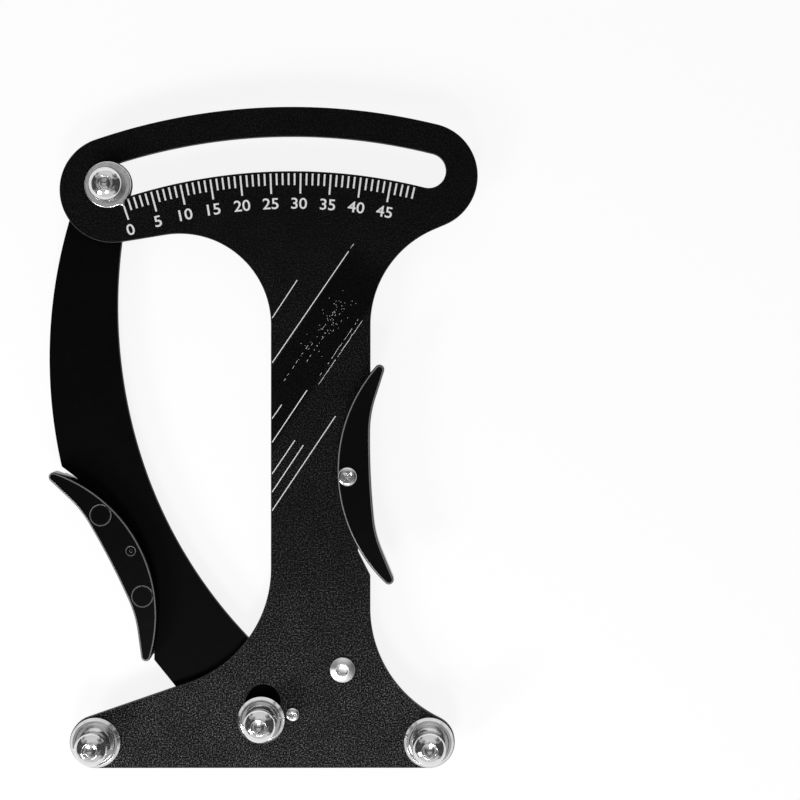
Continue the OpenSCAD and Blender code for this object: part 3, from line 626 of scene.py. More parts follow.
def dome(rim, foot, land, top, steps=16):
    """Rows of a sphere's arc from (rim, foot) to (land, top). Its centre lies on the axis as
    far from both: at half of (rim^2 - land^2) / (foot - top) + foot + top."""
    centre = ((rim ** 2 - land ** 2) / (foot - top) + foot + top) / 2
    t = np.linspace(math.atan2(foot - centre, rim), math.atan2(top - centre, land), steps + 1)
    radius = math.hypot(rim, foot - centre)
    return [(radius * math.cos(a), centre + radius * math.sin(a)) for a in t]


def button_screw(spot, base, end, turn):
    """Shank from its end up, head, dome, land, hexagon socket and drill cone."""
    hexa, top = hexagon(4.0, turn), base + HEAD_TOP
    shank = rounded([(0, end), (3.0, end), (3.0, base), (HEAD_R, base),
                     (HEAD_R, base + HEAD_FOOT)], [0, 0.35, 0, 0.14, 0])
    socket = [(2.57, 0), (2.5, 0), (2.46, 0), (2.4, 0.03), (hexa + 0.02, 0.22), (hexa, 0.26),
              (hexa, 1.9), (hexa - 0.1, 2.0), (1.7, 2.0), (1.5, 2.04), (0.0, 2.7)]
    return [stack([*shank[:-1], *dome(HEAD_R, base + HEAD_FOOT, 2.6, top)]
                  + [(r, top - drop) for r, drop in socket], spot)]


def cross_radius(long, wide, angles):
    """Radius of two crossed bars: the farther of the two bars' edges at each angle."""
    c, s = np.maximum(np.abs(np.cos(angles)), 1e-9), np.maximum(np.abs(np.sin(angles)), 1e-9)
    return np.maximum(np.minimum(long / c, wide / s), np.minimum(wide / c, long / s))


def cross_screw(spot, base, end, shank, head, height, turn, facing):
    """A small round head with a cross recess. Above its foot the head is a quarter ellipse,
    r = 0.62 head + 0.38 head cos t. With facing -1 the screw comes from behind."""
    long, wide = 0.56 * head, 0.15 * head
    bend = math.atan2(wide, long)
    one = np.concatenate([np.linspace(-bend, bend, 5), np.linspace(bend, np.pi / 4, 5)[1:],
                          np.linspace(np.pi / 4, np.pi / 2 - bend, 5)[1:-1]])
    local = (one[None, :] + np.arange(4)[:, None] * np.pi / 2).ravel()
    arms, angles = cross_radius(long, wide, local), local + math.radians(turn)
    foot, land = 0.35 * height, 0.62 * head
    t = np.linspace(0, np.pi / 2, 9)
    rows = [*rounded([(0, end), (shank, end), (shank, 0), (head, 0), (head, foot)],
                     [0, 0.25, 0, 0.06, 0])[:-1],
            *zip(land + (head - land) * np.cos(t), foot + (height - foot) * np.sin(t)),
            (0.6 * head, height), (arms + 0.07 * (arms > wide * 1.5) + 0.02, height),
            (arms, height - 0.06), (arms * 0.86, 0.4 * height), (arms * 0.8, 0.34 * height),
            (0.0, 0.22 * height)]
    rows = [(r, base + facing * z) for r, z in rows]
    return [stack(rows[::facing], spot, angles=angles)]


for name, spot, base, end, turn, body in (
        ("left_post_screw", LEFT, 20.6, 3.0, 22, "frame"),
        ("right_post_screw", RIGHT, 20.6, 3.0, 30, "frame"),
        ("middle_post_screw", MIDDLE, 20.0, 0.4, 30, "arm"),
        ("pointer_screw", POINTER, 16.6, 0.4, 0, "arm")):
    piece(name + "_button", button_screw(spot, base, end, turn),
          turned_metal(name + "_chrome", spot, 0.80, 0.09), body, [name])
for name, spot, base, end, shank, head, height, turn, facing, body in (
        ("pivot_screw", PIVOT, FRAME_FRONT, -7.0, 1.25, 2.25, 1.2, 20, 1, "frame"),
        ("frame_grip_screw", FRAME_GRIP_SCREW, 18.0, -11.0, 1.6, 3.1, 1.3, 35, 1, "frame"),
        ("arm_grip_screw", ARM_GRIP_SCREW, ARM_BACK, -8.4, 1.6, 3.1, 1.3, 10, -1, "arm")):
    piece(name + "_cross", cross_screw(spot, base, end, shank, head, height, turn, facing),
          turned_metal(name + "_chrome", spot, 0.80, 0.16), body, [name])

# %% Spring post screw
P_TOP = FRAME_FRONT + 1.4
hexa = hexagon(3.0, 12)
rows = [*rounded([(0, 6.3), (2.0, 6.3), (2.0, FRAME_FRONT), (4.05, FRAME_FRONT),
                  (4.05, P_TOP - 0.9), (3.95, P_TOP - 0.8)], [0, 0.3, 0, 0.08, 0.05, 0]),
        *dome(3.95, P_TOP - 0.8, 2.05, P_TOP, 10)]
rows += [(r, P_TOP - drop) for r, drop in (
    (2.0, 0), (1.95, 0), (1.9, 0.03), (hexa + 0.02, 0.16), (hexa, 0.2), (hexa, 1.0),
    (hexa - 0.1, 1.1), (1.1, 1.1), (0, 1.3))]
piece("spring_post_screw_socket", [stack(rows, SPRING_POST)],
      turned_metal("spring_post_screw_chrome", SPRING_POST, 0.88, 0.34), "frame",
      ["spring_post_screw"])

# %% [markdown]
# ## Nuts and washers at the back
#
# The outer screws end in domed cap nuts, on which the tool also stands. The two screws of
# the arm end in lock nuts with a round plastic-filled collar. A nut's corners are chamfered
# by a cone, so the chamfer's edge rises and falls: where the hexagon is wider, the cone
# cuts lower. That is the line radius minus flat, times the tangent of 30 degrees.

# %% Nuts
CUT = math.tan(math.radians(30))
NUT_FLAT, SMALL_FLAT = 4.9, 2.9


def hex_band(hexa, flat_r, low, high):
    """The sides of a hexagon between two chamfers, from the flat circle and back to it."""
    drop = (hexa - flat_r) * CUT
    return [(hexa - 0.03, low + drop), (hexa, low + 0.06 + drop), (hexa, high - 0.08 - drop),
            (hexa - 0.03, high - 0.02 - drop), (flat_r, high)]


def lock_nut(spot):
    """Bore, tapered collar, hexagon with both chamfers and top, as closed rings."""
    rows = [(BORE_R, 4.6), (BORE_R, 0.35), (3.35, 0.05), (3.5, 0.0), (3.9, 0.0), (4.08, 0.05),
            (4.2, 0.2), (4.78, 1.2), (4.84, 1.25), (NUT_FLAT, 1.27),
            *hex_band(hexagon(10.0), NUT_FLAT, 1.27, 5.0),
            (4.86, 5.0), (3.45, 5.0), (3.4, 4.98), (BORE_R, 4.65)]
    return [stack(rows, spot, True)]


def cap_nut(spot):
    """Dome from its flat foot up, hexagon with both chamfers, top and blind bore."""
    t = np.linspace(0, np.pi / 2, 15)
    rows = [(0.0, 0.0), (1.56, 0.0), *zip(1.6 + 3.1 * np.sin(t), 3.5 * (1 - np.cos(t))),
            (4.72, 3.5), (NUT_FLAT, 3.5), *hex_band(hexagon(10.0), NUT_FLAT, 3.5, 8.0),
            (4.86, 8.0), (3.3, 8.0), (BORE_R, 7.8), (BORE_R, 2.2), (0.0, 1.4)]
    return [stack(rows, spot)]


def ring(spot, outer, bore, low, high, soft=0.12):
    """A flat washer with broken edges."""
    return [stack(rounded([(bore, low), (outer, low), (outer, high), (bore, high)],
                          [soft] * 4, closed=True, steps=3), spot, True)]


ZINC, ZINC_GREY, ZINC_ROUGH = (1.0, 0.985, 0.95), 0.66, 0.27
for name, spot, body in (("left", LEFT, "frame"), ("right", RIGHT, "frame"),
                         ("middle", MIDDLE, "arm"), ("pointer", POINTER, "arm")):
    plated = turned_metal(name + "_zinc", spot, ZINC_GREY, ZINC_ROUGH, ZINC)
    back, make, nut = ((FRAME_BACK, cap_nut, name + "_cap_nut") if body == "frame"
                       else (ARM_BACK, lock_nut, name + "_nut"))
    piece(nut + "_hexagon", make(spot), plated, body, [nut])
    piece(name + "_washer_disc", ring(spot, 5.5, HOLE_R, back - 1, back), plated, body,
          [name + "_washer"])

# %% Small nut behind the frame's grip
small = hexagon(6.0, 15)
drop = (small - SMALL_FLAT) * CUT
rows = [(1.65, 8.9), (1.65, 6.8), (1.85, 6.6), (SMALL_FLAT, 6.6), (small - 0.02, 6.6 + drop),
        (small, 6.64 + drop), (small, 8.94 - drop), (small - 0.02, 8.98 - drop),
        (SMALL_FLAT, 9.0), (1.8, 9.0)]
piece("frame_grip_nut_hexagon", [stack(rows, FRAME_GRIP_SCREW, True)],
      turned_metal("grip_nut_zinc", FRAME_GRIP_SCREW, ZINC_GREY, ZINC_ROUGH, ZINC), "frame",
      ["frame_grip_nut"])

# %% [markdown]
# ## Pivot
#
# The arm turns on the journal of a steel bush that a small screw holds to the frame. The
# bush's boss keeps the arm on, and a bronze washer keeps the two plates apart. Only its
# edge shows, through the short slot and from the side.

# %% Bush and washer
bush = rounded([(0, 0), (4.1, 0), (4.1, 5.9), (3.0, 5.9), (3.0, 9.0), (1.3, 9.0), (1.3, 3.0),
                (0, 2.6)], [0, 0.35, 0.15, 0.05, 0.2, 0.1, 0, 0])
piece("pivot_bush_turned", [stack(bush, PIVOT)],
      turned_metal("bush_steel_turned", PIVOT, 0.6, 0.24), "frame",
      ["pivot_bush"])
piece("thrust_washer_disc", ring(PIVOT, 4.85, BORE_R, 8.55, 8.95, 0.06),
      turned_metal("bronze_turned", PIVOT, 0.7, 0.3, (1.0, 0.74, 0.4)), "frame",
      ["thrust_washer"])

# %% [markdown]
# ## Pointer
#
# The pointer is a thin disc with a small beak that reads the scale, and a collar holds it
# under its screw. The beak grows out of the disc with two hollow fillets. Each fillet's
# circle touches both the disc and the tip, so its centre is found from the triangle of the
# three centres. A nylon slider below the disc runs in the scale's slot.

# %% Disc, collar and slider
BEAK = REST_TURN + 180 + 18.5
DISC, NIB, HOLLOW, REACH = 7.5, 0.4, 1.7, 8.75
DISC_TOP, COLLAR_TOP = 13.0, 16.6
far, tip = DISC + HOLLOW, REACH - NIB
swing = math.degrees(math.acos((far ** 2 + tip ** 2 - (NIB + HOLLOW) ** 2) / (2 * far * tip)))
pointer_chain = [[*POINTER, DISC, 140],
                 [*(POINTER + polar(far, BEAK - swing)), -HOLLOW, 10],
                 [*(POINTER + polar(tip, BEAK)), NIB, 10],
                 [*(POINTER + polar(far, BEAK + swing)), -HOLLOW, 10]]
piece("pointer_disc", plate(loop_of(pointer_chain), [hole(POINTER, HOLE_R)], MOVING_FRONT,
                            DISC_TOP, 0.35), turned_metal("pointer_nickel", POINTER, 0.82, 0.2),
      "arm", ["pointer_plate"])
piece("pointer_collar_turned", ring(POINTER, 5.65, BORE_R, DISC_TOP, COLLAR_TOP),
      turned_metal("collar_nickel", POINTER, 0.42, 0.2), "arm",
      ["pointer_collar"])

nylon = Finish("slider_nylon", "Subsurface Weight", 0.1)
cloud = nylon.grain(1.2, 3.0)
piece("slider_ring", ring(POINTER, 5.4, BORE_R, ARM_FRONT, MOVING_FRONT, 0.25),
      nylon.surface(nylon.ramp(cloud, (0.3, (0.66, 0.64, 0.58)), (0.7, (0.78, 0.76, 0.70))),
                    nylon.spread(cloud, 0.3, 0.7, 0.5, 0.38), nylon.grain(0.3), 0.01),
      "arm", ["slider"])

# %% [markdown]
# ## Spring, post and pin
#
# The pull spring is one wire: a loop round the frame's post, a straight lead, nine turns,
# and the same again at the arm's pin. The path is written as functions of one parameter,
# with the outward direction at each point, and the wire is a circle carried along it. A
# bevelled curve would make the wire too, but the outward direction keeps it from twisting
# where the loop turns into the lead. The wire is one fixed mesh, wound between the post and
# the pin where they stand at rest, and it rides on neither body.


# %% Hook post and pin
def hook_profile(neck, seat, seat_low, top, inside):
    """Cap, groove for the wire, neck, seat and what is inside it: corners and their radii."""
    points = [(0, 0.3), (2.7, 0.3), (2.7, 2.05), (1.6, 2.05), (1.6, 3.75), (neck, 3.75),
              (neck, seat_low), (seat, seat_low), (seat, top)]
    radii = [0, 0.3, 0.15, 0.1, 0.1, 0.12, 0.05, 0.08, 0.08]
    return rounded(points + [p[:2] for p in inside], radii + [p[2] for p in inside])


BORED = [(2.05, 9.0, 0.08), (2.05, 6.0, 0), (0, 5.8, 0)]
STUD = [(1.5, 6.0, 0), (1.5, 8.5, 0.15), (0, 8.5, 0)]
for name, spot, profile, body in (
        ("spring_post", SPRING_POST, hook_profile(2.2, 3.4, 6.0, 9.0, BORED), "frame"),
        ("spring_pin", SPRING_PIN, hook_profile(2.2, 2.4, 5.4, 6.0, STUD), "arm")):
    piece(name + "_turned", [stack(profile, spot)],
          turned_metal(name + "_steel", spot, 0.62, 0.24), body, [name])

# %% Return spring
COIL_R, WIRE_R, COILS, LEAD_START, LEAD_END, LOOP_OUT = 2.3, 0.5, 9, 1.6, 3.1, 2.9
run_way = SPRING_POST - SPRING_PIN
RUN = float(np.linalg.norm(run_way))
PITCH = (RUN - 2 * LEAD_END) / COILS


def half_spring():
    """The loop from its free end to the axis, then the lead. Each part is the path and the
    direction away from the loop's or the coil's middle."""
    t = np.radians(np.linspace(340, 90, 41))
    loop = COIL_R * np.stack([np.cos(t), np.sin(t), 0 * t], -1)
    away = loop / COIL_R
    end = loop[:1] - 1.0 * np.array([[math.sin(t[0]), -math.cos(t[0]), 0]])
    s = np.linspace(0, 1, 11)[1:]
    a = np.radians(90 * s * s)
    lead = np.stack([LEAD_START + 2.4 * s - 0.9 * s * s, COIL_R * np.cos(a),
                     COIL_R * np.sin(a)], -1)
    lead_away = np.stack([0 * a, np.cos(a), np.sin(a)], -1)
    joint = np.array([[0.8, COIL_R, 0.0], [LEAD_START, COIL_R, 0.0]])
    return (np.vstack([end, loop, joint, lead]),
            np.vstack([away[:1], away, [[0, 1, 0], [0, 1, 0]], lead_away]))


first, first_away = half_spring()
turn = np.linspace(0, 360 * COILS, COILS * 28 + 1)[1:-1]
a = np.radians(turn + 90)
coil_away = np.stack([0 * a, np.cos(a), np.sin(a)], -1)
coil = np.stack([LEAD_END + PITCH * turn / 360, COIL_R * np.cos(a), COIL_R * np.sin(a)], -1)
back_way = np.array([-1, -1, 1])
path = np.vstack([first, coil, (first * back_way + [RUN, 0, 0])[::-1]])
away = np.vstack([first_away, coil_away, (first_away * back_way)[::-1]])


def wire(path, away, radius, sides=16):
    """A circle carried along a path: path + radius (cos t A + sin t B), where A is the
    outward direction made square to the path and B is square to both. Two small rings and
    a point close each end."""
    ahead = unit(np.gradient(path, axis=0))
    side = unit(away - (away * ahead).sum(1, keepdims=True) * ahead)
    other = np.cross(ahead, side)
    t = np.arange(sides) * 2 * np.pi / sides
    ends = np.array([0.0, 0.75])
    size = radius * np.concatenate([ends, np.ones(len(path)), ends[::-1]])
    pick = np.concatenate([[0, 0], np.arange(len(path)), [len(path) - 1] * 2])
    circle = (np.cos(t)[None, :, None] * side[pick, None]
              + np.sin(t)[None, :, None] * other[pick, None])
    return path[pick, None] + size[:, None, None] * circle


wire_points = wire(path, away, WIRE_R)
wire_turn = math.degrees(math.atan2(run_way[1], run_way[0]))
wire_xy = placed(wire_points[..., :2], SPRING_PIN, wire_turn)
wire_points = np.concatenate([wire_xy, wire_points[..., 2:] + SPRING_LEVEL], -1)
print("spring:", len(path), "rings, wire", round(float(np.linalg.norm(
    np.diff(path, axis=0), axis=1).sum())), "mm long, pitch", round(PITCH, 2))

# %% Spring wire and its finish
drawn = Finish("spring_wire", "Metallic", 1.0)
streak = drawn.grain(0.8, 4.0, 0.65)
spring = piece("return_spring_wound", [skin(wire_points)], drawn.surface(
    drawn.ramp(streak, (0.3, (0.34, 0.35, 0.37)), (0.7, (0.5, 0.51, 0.53))),
    drawn.spread(streak, 0.3, 0.7, 0.42, 0.26), drawn.grain(0.25), 0.004),
    None, ["return_spring"], sharp=60)
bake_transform(spring)

# %% [markdown]
# ## Crescent grips
#
# The grips are moulded in glossy black plastic. A grip lies on the front of its plate, with
# a core that fills the pocket in the plate's edge. Its outline is again a chain: a broad
# bulge, two small tips, and a hollow side that is almost straight in the middle. The front
# edge is rounded and the side walls lean a little, as they must to leave the mould. The
# core's inner edge is the lowest of four curves: the pocket's floor, its two slopes and the
# bulge of the grip itself. A Boolean modifier could trim it to them, but it leaves slivers
# where two edges nearly meet.

# %% Outline and core of a grip
GRIP_Y, TIP_R, FLANK_R, HOLLOW_R, TOUCH = 16.3, 1.6, 36, 250, 14
CORE_FIT = 0.1


def grip_chain(length, width):
    """Tip, bulge, tip, flank, nearly straight hollow and flank, along X with the bulge up.
    Flank and hollow touch at TOUCH from the middle."""
    bulge, hollow = 0.715 * length, GRIP_Y - width
    tip_x = length / 2 - TIP_R
    tip_y = GRIP_Y - bulge + math.sqrt((bulge - TIP_R) ** 2 - tip_x ** 2)
    share = (HOLLOW_R - FLANK_R) / HOLLOW_R
    flank_x = share * TOUCH
    flank_y = hollow - HOLLOW_R + share * math.sqrt(HOLLOW_R ** 2 - TOUCH ** 2)
    return [[tip_x, tip_y, TIP_R, 20], [0, GRIP_Y - bulge, bulge, 72],
            [-tip_x, tip_y, TIP_R, 20], [-flank_x, flank_y, -FLANK_R, 32],
            [0, hollow - HOLLOW_R, -HOLLOW_R, 16], [flank_x, flank_y, -FLANK_R, 32]]


def grip_sides(size, x):
    """Heights of a grip's bulge and of its hollow side at places x along it. Each is the top
    of a circle, y = centre + sqrt(radius^2 - x^2). The hollow side has two: a nearly straight
    one up to where it touches the flank's, and the flank's from there."""
    top, middle, side = (c[1] + np.sqrt(c[2] ** 2 - (np.abs(x) - c[0]) ** 2)
                         for c in (grip_chain(*size)[n] for n in (1, 4, 5)))
    return top, np.where(np.abs(x) < TOUCH, middle, side)


def core_outline(size, grip_place, pocket_place, half, deep):
    """The core fills the pocket under the grip. At each place u along the pocket its inner
    edge is the least of the floor, the two slopes and the grip's bulge, and its outer edge
    is the mouth or the grip's hollow side. Only points where the edge bends are kept."""
    spot, turn = pocket_place
    x = np.linspace(-1, 1, 400) * (size[0] / 2 - TIP_R)
    bulge, hollow = (placed(placed(np.column_stack([x, y]), *grip_place) - spot, (0, 0), -turn)
                     for y in grip_sides(size, x))
    reach = half - CORE_FIT / math.sin(SLOPE_ANGLE)
    u = np.linspace(-1, 1, 321) * min(reach, size[0] / 2 - 0.8)
    inner = np.minimum.reduce([np.full(len(u), deep - CORE_FIT), (u + reach) / SLOPE,
                               (reach - u) / SLOPE, np.interp(u, *bulge.T) - 0.05])
    outer = np.maximum(0.02, np.interp(u, *hollow.T) + 0.05)
    u, inner, outer = (v[inner > outer + 0.01] for v in (u, inner, outer))
    edge = np.vstack([np.column_stack([u, inner])[::-1], np.column_stack([u, outer])])
    to, out = edge - np.roll(edge, 1, 0), np.roll(edge, -1, 0) - edge
    bend = np.abs(to[:, 0] * out[:, 1] - to[:, 1] * out[:, 0])
    return placed(edge[bend > 1e-6], spot, turn)


# %% Grip skins
LEAN, GRIP_EDGE, PLATE_THICK = 0.03, 0.8, 2.5


def grip_levels(low, high):
    """Pairs (inset, height) up a grip's wall, which leans in, and round its front edge."""
    t = np.linspace(0, np.pi / 2, 10)
    arc = np.column_stack([LEAN + GRIP_EDGE * (1 - np.cos(t)), high - GRIP_EDGE * (1 - np.sin(t))])
    return np.vstack([[0.0, low], arc, [LEAN + GRIP_EDGE + FLAT_RING, high]])


def dimple(spot, radius, level, deep, post):
    """A round mark of an ejector pin: its edge rolls down to a flat floor. With post there
    is a small knob in its middle."""
    rows = [(0.3, 0), (0.24, 0), (0.18, 0.02), (0.03, 0.15), (-0.03, 0.15),
            (-0.16, deep - 0.01), (-0.22, deep), (-0.28, deep)]
    rows = [(radius + r, level - drop) for r, drop in rows]
    if post:
        rows += [(post + 0.15, level - deep), (post, level - deep + 0.06), (post - 0.1, level)]
    return stack(rows + [(0.0, rows[-1][1])], spot, angles=AROUND[::2])


def grip(loop, core, low, high, through, marks=(), blind=None):
    """A grip: rim, back and front faces, its marks, and its core as a second closed skin."""
    levels = grip_levels(low, high)
    top_holes = [hole(s, r + 0.3, 48) for s, r, _, _ in marks]
    bore = hole(through, GRIP_HOLE_R, 48)
    if blind is None:
        top_holes.append(bore)
        shaft = wall(bore, [(0, low), (0, high)], True)
    else:
        shaft = stack([(0.0, blind), (GRIP_HOLE_R, blind), (GRIP_HOLE_R, low)], through,
                      angles=AROUND[::2])
    back, buried = low - PLATE_THICK, low + 0.4
    return [wall(loop, levels), flat([loop(), bore()], low, False),
            flat([loop(levels[-1, 0])] + [h() for h in top_holes], high), shaft,
            *(dimple(s, r, high, deep, post) for s, r, deep, post in marks),
            wall(lambda inset=0.0: core, [(0, back), (0, buried)]),
            flat([core], back, False), flat([core], buried)]


# %% Moulded plastic
gloss = Finish("grip_gloss_plastic", "Specular IOR Level", 0.24)
black = gloss.ramp(gloss.grain(3.0, 3.0), (0.3, (0.0007, 0.0007, 0.0009)),
                   (0.7, (0.0013, 0.0013, 0.0016)))
# The grips' rounded front edges get a grey painted highlight.
moulded = gloss.surface(gloss.bright_rim(black, 0.22, (0.62, 0.75), (0.92, 0.985)),
                        gloss.spread(gloss.grain(0.5, 4.0, 0.6), 0.3, 0.7, 0.13, 0.2),
                        gloss.grain(5.0, 1.0), 0.012)

ARM_GRIP_PLACE = np.array([-63.5, 47.4]), 297.2
marks = [(placed(np.array([s * 14.7, 9.6]), *ARM_GRIP_PLACE), 3.3, 0.02, 0.0)
         for s in (-1, 1)] + [(ARM_GRIP_SCREW, 1.4, 0.35, 0.4)]
for name, size, place, seat, low, high, screw, more, body in (
        ("frame_grip", (70.6, 10.8), (np.array([30.8, 78.2]), 92.6), FRAME_POCKET,
         FRAME_FRONT, 18.0, FRAME_GRIP_SCREW, (), "frame"),
        ("arm_grip", (68.18, 10.9), ARM_GRIP_PLACE, ARM_POCKET,
         ARM_FRONT, 15.0, ARM_GRIP_SCREW, (marks, 14.45), "arm")):
    local = loop_of(grip_chain(*size))
    piece(name + "_moulded", grip(lambda inset=0.0: placed(local(inset), *place),
                                  core_outline(size, place, *seat), low, high, screw, *more),
          moulded, body, [name])

# %% [markdown]
# ## White print
#
# The scale is printed in white: fifty lines from 0 to 49, every fifth one longer and
# numbered. Print has almost no thickness, so each line is a thin strip that stands a
# fortieth of a millimetre above the coat. A picture on the coat would do from afar, but
# strips stay sharp close up. All strips of one print are made at once as arrays: four
# corners from a start, an end and a width, at two heights.

# %% Strips and ink
INK_LOW, INK_TOP = FRAME_FRONT - 0.02, FRAME_FRONT + 0.025


def strips(starts, ends, widths):
    """Thin slabs from start to end: start or end plus or minus half the width times the
    direction square to the strip."""
    way = unit(ends - starts)
    off = np.stack([-way[:, 1], way[:, 0]], -1) * np.reshape(widths, (-1, 1)) / 2
    corners = np.stack([starts - off, ends - off, ends + off, starts + off], 1)
    n = len(starts)
    low, top = (np.concatenate([corners, np.full((n, 4, 1), z)], -1)
                for z in (INK_LOW, INK_TOP))
    box = np.array([[3, 2, 1, 0], [4, 5, 6, 7], [0, 1, 5, 4], [1, 2, 6, 5], [2, 3, 7, 6],
                    [3, 0, 4, 7]])
    faces = (box[None] + 8 * np.arange(n)[:, None, None]).reshape(-1, 4)
    return np.concatenate([low, top], 1).reshape(-1, 3), faces.tolist()


print_finish = Finish("white_print", "Specular IOR Level", 0.3)
thin = print_finish.grain(0.5, 4.0, 0.7)
ink = print_finish.surface(print_finish.ramp(thin, (0.25, 0.62), (0.5, 0.86), (0.8, 0.93)),
                           print_finish.spread(thin, 0.3, 0.7, 0.6, 0.45), thin, 0.01)

# %% Scale lines
UNIT, ZERO, LINE_TOP = 0.639, 108.35, 175.1
count = np.arange(50)
line_turn = ZERO - UNIT * count
long_line = np.where(count % 5 == 0, 6.5, 3.8)
piece("scale_lines", [strips(polar(LINE_TOP - long_line, line_turn),
                             polar(np.full(50, LINE_TOP), line_turn), 0.58)],
      ink, "frame")

# %% [markdown]
# ### Numbers
#
# Each number is a text object, thickened a little and made a mesh. It is then scaled to the
# height of the print, turned so that it stands on a circle about the pivot, and moved to
# its place in the vertices. All ten go into one mesh.


# %% Scale numbers
def figures(text, height, spot, turn):
    """A printed number as a skin, centred on a spot."""
    curve = bpy.data.curves.new("figure", "FONT")
    curve.body, curve.align_x, curve.extrude, curve.offset = text, "CENTER", 0.01, 0.01
    curve.resolution_u = 5
    holder = put("figure", curve)
    bpy.context.view_layer.update()
    mesh = bpy.data.meshes.new_from_object(
        holder.evaluated_get(bpy.context.evaluated_depsgraph_get()))
    points = np.zeros(len(mesh.vertices) * 3)
    mesh.vertices.foreach_get("co", points)
    points = points.reshape(-1, 3)
    faces = [list(p.vertices) for p in mesh.polygons]
    bpy.data.objects.remove(holder)
    bpy.data.meshes.remove(mesh)
    low, high = points.min(0), points.max(0)
    size = height / (high[1] - low[1])
    flat_points = (points[:, :2] - (low + high)[:2] / 2) * size * [1.1, 1.0]
    z = np.where(points[:, 2] > 0, INK_TOP, INK_LOW)
    return np.column_stack([placed(flat_points, spot, turn), z]), faces


NUMBER_HIGH, NUMBER_R, NUMBER_SHIFT = 3.6, 165.4, 0.12
labels = [figures(str(n), NUMBER_HIGH, polar(NUMBER_R, ZERO + NUMBER_SHIFT - UNIT * n),
                  ZERO - UNIT * n - 90) for n in range(0, 50, 5)]
piece("scale_numbers", labels, ink, "frame")

# %% [markdown]
# ### Stripes on the neck
#
# Thin parallel lines cross the neck from its left edge. Most are whole, and a few in the
# smooth band are worn down to dashes and flakes. The worn ones are strips too, with
# lengths and gaps from a seeded random generator, so that they come out the same each time.

# %% Pin stripes
whole = np.array([
    [-6.7, 128.3, 1.4, 140.6], [-6.7, 113.8, 18.0, 149.9], [-6.7, 95.8, -3.6, 100.3],
    [-6.7, 88.1, 4.6, 105.0], [-6.7, 77.9, 0.7, 88.8], [-6.7, 72.0, 3.4, 87.2],
    [-6.7, 66.0, 13.8, 96.6]])
piece("neck_stripes", [strips(whole[:, :2], whole[:, 2:], 0.3)], ink, "frame")

# %% Worn stripes
chance = np.random.default_rng(7)
way, across_way = polar(1.0, STRIPE_TURN), polar(1.0, STRIPE_TURN + 90)


def dashes(offset, start, end, share, width, longest=1.1):
    """Dashes on one worn line: random places along it, kept with a given chance."""
    edges = np.cumsum(chance.uniform(0.2, longest, 300)) + start
    edges = edges[edges < end]
    a, b = edges[:-1], edges[1:] - 0.1
    keep = chance.random(len(a)) < share
    side = (offset + chance.normal(0, 0.05, len(a)))[keep, None] * across_way
    return (side + a[keep, None] * way, side + b[keep, None] * way,
            chance.uniform(0.5, 1.0, keep.sum()) * width)


worn = [dashes(69.79, 134.2, 138.5, 0.75, 0.22), dashes(63.4, 84.2, 103.0, 0.35, 0.16),
        dashes(62.6, 100.0, 120.0, 0.3, 0.14), dashes(60.9, 96.0, 120.0, 0.22, 0.13),
        dashes(59.4, 106.0, 122.0, 0.2, 0.12), dashes(54.8, 94.0, 121.0, 0.6, 0.15, 1.6),
        dashes(53.5, 92.5, 118.5, 0.85, 0.2, 2.2)]
loose = np.column_stack([chance.normal(112, 5.5, 60), chance.normal(62, 1.9, 60)])
dust = loose[:, :1] * way + loose[:, 1:] * across_way
worn.append((dust, dust + way * chance.uniform(0.1, 0.3, (60, 1)),
             chance.uniform(0.08, 0.16, 60)))
piece("neck_worn_stripes", [strips(*(np.concatenate(part) for part in zip(*worn)))], ink,
      "frame")

# %% [markdown]
# ## Floor, light and camera
#
# The tool stands on a white floor that fills the picture. To a camera, and in a mirror, the
# floor is nearly pure white by its own colour, and a share of plain white diffuse keeps the
# soft shadow. Plated steel shows what is round it, so the sky is a small studio. It is
# bright towards the two ends of the tool and dark towards its sides, with one low bright
# strip all round for the bevels. Overhead it is dark, or black plastic would wear a veil,
# and it turns lighter both ways along Y, which the level tops of the posts mirror. Two
# lamps add to it. The key is small and low at the lower left and gives the edge lines and
# shadows, and a window below the tool makes the rough coat gleam at its base.

# %% Floor
FAR, FLOOR_LEVEL = 3, -0.00005  # in metres


def emptied(owner):
    """The wiring of a material or world whose node tree starts empty."""
    owner.use_nodes = True
    owner.node_tree.nodes.clear()
    return Wiring(owner.node_tree)


floor_mesh = bpy.data.meshes.new("floor")
floor_mesh.from_pydata([(x, y, FLOOR_LEVEL) for x, y in (
    (-FAR, -FAR), (FAR, -FAR), (FAR, FAR), (-FAR, FAR))], [], [(0, 1, 2, 3)])
floor = put("floor", floor_mesh)
white = bpy.data.materials.new("white_floor")
ground = emptied(white)
rays = ground.add("LightPath").node.outputs
shows = ground.maths("MAXIMUM", rays["Is Camera Ray"],
                     ground.maths("MAXIMUM", rays["Is Glossy Ray"],
                                  rays["Is Transmission Ray"]))
shadowed, faint = (ground.add("BsdfDiffuse", {"Color": (v, v, v, 1)}) for v in (0.8, 0.15))
glow = ground.add("Emission", {"Color": (1, 1, 1, 1), "Strength": 0.87})
shown = ground.add("AddShader", {0: faint, 1: glow})
ground.add("OutputMaterial",
           {"Surface": ground.add("MixShader", {0: shows, 1: shadowed, 2: shown})})
floor_mesh.materials.append(white)

# %% Sky
world = bpy.data.worlds.new("studio_sky")
bpy.context.scene.world = world
sky = emptied(world)
toward = sky.xyz(sky.add("TexCoord", out="Generated"))
level = toward["Z"]


def glow_of(colour):
    """A background with a colour or grey of its own."""
    colour = colour if isinstance(colour, bpy.types.NodeSocket) else (colour,) * 3 + (1,)
    return sky.add("Background", {"Color": colour})


def between(share, low, high):
    """One background where share is 0 and another where it is 1."""
    return sky.add("MixShader", {0: share, 1: low, 2: high})


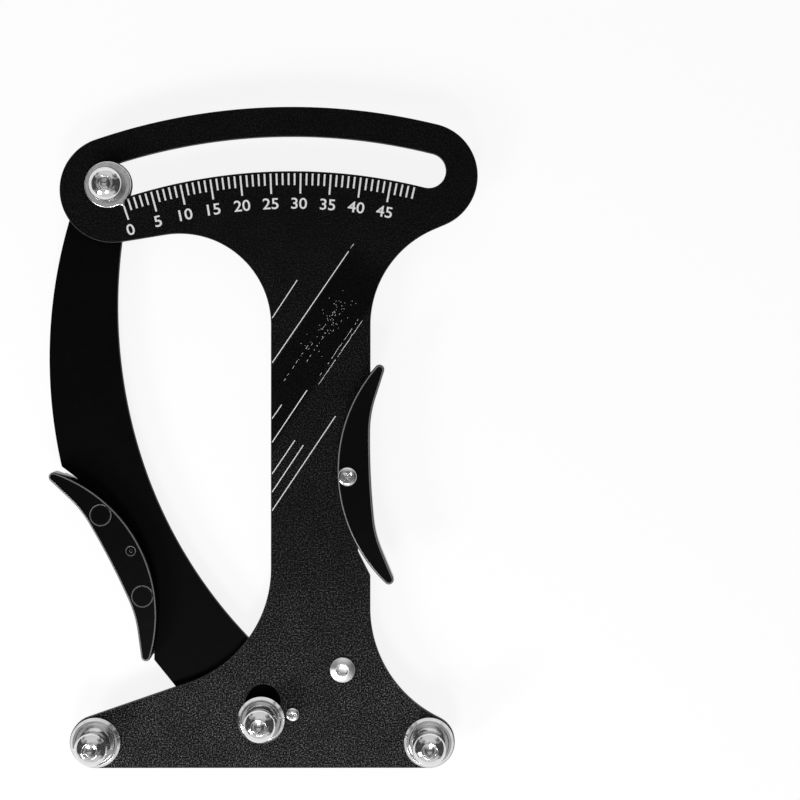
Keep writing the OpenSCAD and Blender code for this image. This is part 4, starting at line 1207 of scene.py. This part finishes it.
ends = glow_of(sky.ramp(level, (0.0, 0.7), (0.3, 0.7), (0.75, 0.75), (0.93, 0.3)))
sides = glow_of(sky.ramp(level, (0.0, 0.5), (0.12, 0.06), (0.85, 0.06), (0.93, 0.12)))
flat_part = sky.maths("SQRT", sky.maths("SUBTRACT", 1.0, sky.times(level, level)))
sideways = sky.maths("DIVIDE", sky.maths("ABSOLUTE", toward["X"]),
                     sky.maths("MAXIMUM", flat_part, 0.001))
clutter = sky.add("TexNoise", {"Scale": 3.5, "Detail": 2.0}, "Fac")
sideways = sky.maths("ADD", sideways, sky.spread(clutter, 0.3, 0.7, -0.22, 0.22))
to_side = sky.spread(sideways, 0.5, 0.88, 0, 1, True)
overhead = glow_of(sky.ramp(sky.spread(toward["Y"], -0.24, 0.07, 0, 1), (0.0, 0.45),
                            (0.19, 0.45), (0.32, 0.1), (0.65, 0.1), (1.0, 0.5)))
back = between(sky.spread(level, 0.93, 0.975, 0, 1, True), between(to_side, ends, sides),
               overhead)
low_strip = sky.times(sky.spread(level, 0.0, 0.03, 0, 1, True),
                      sky.maths("LESS_THAN", level, sky.spread(to_side, 0, 1, 0.26, 0.14)))
back = between(low_strip, back, glow_of(1.0))
seen = sky.add("LightPath", out="Is Camera Ray")
sky.add("OutputWorld", {"Surface": between(seen, back, glow_of(1.0))})


# %% Lamps
def lamp(name, spot, aim, size, power):
    """A square soft lamp at a spot, turned to face a point. Both are in millimetres."""
    light = bpy.data.lights.new(name, "AREA")
    light.size, light.energy = size, power
    holder = put(name, light)
    holder.location = Vector(spot) * MM
    holder.rotation_euler = (Vector(aim) - Vector(spot)).to_track_quat("-Z", "Y").to_euler()


lamp("key", (-430, -330, 400), (0, 70, 10), 0.2, 2.2)
lamp("window", (-20, -300, 500), (0, 40, 10), 0.14, 1.2)

# %% Camera
camera = put("camera", bpy.data.cameras.new("camera"))
camera.data.lens, camera.data.sensor_width = 81.02, 36
camera.data.shift_y = -0.09
camera.data.clip_start = 0.02
camera.location = Vector((31.8, 129.9, 593.8)) * MM
camera.rotation_euler = [math.radians(v) for v in (-0.47, -0.28, 0.04)]
bpy.context.scene.camera = camera
bpy.context.scene.view_settings.view_transform = "Standard"

# %% Bring the scene up to date
bpy.context.view_layer.update()
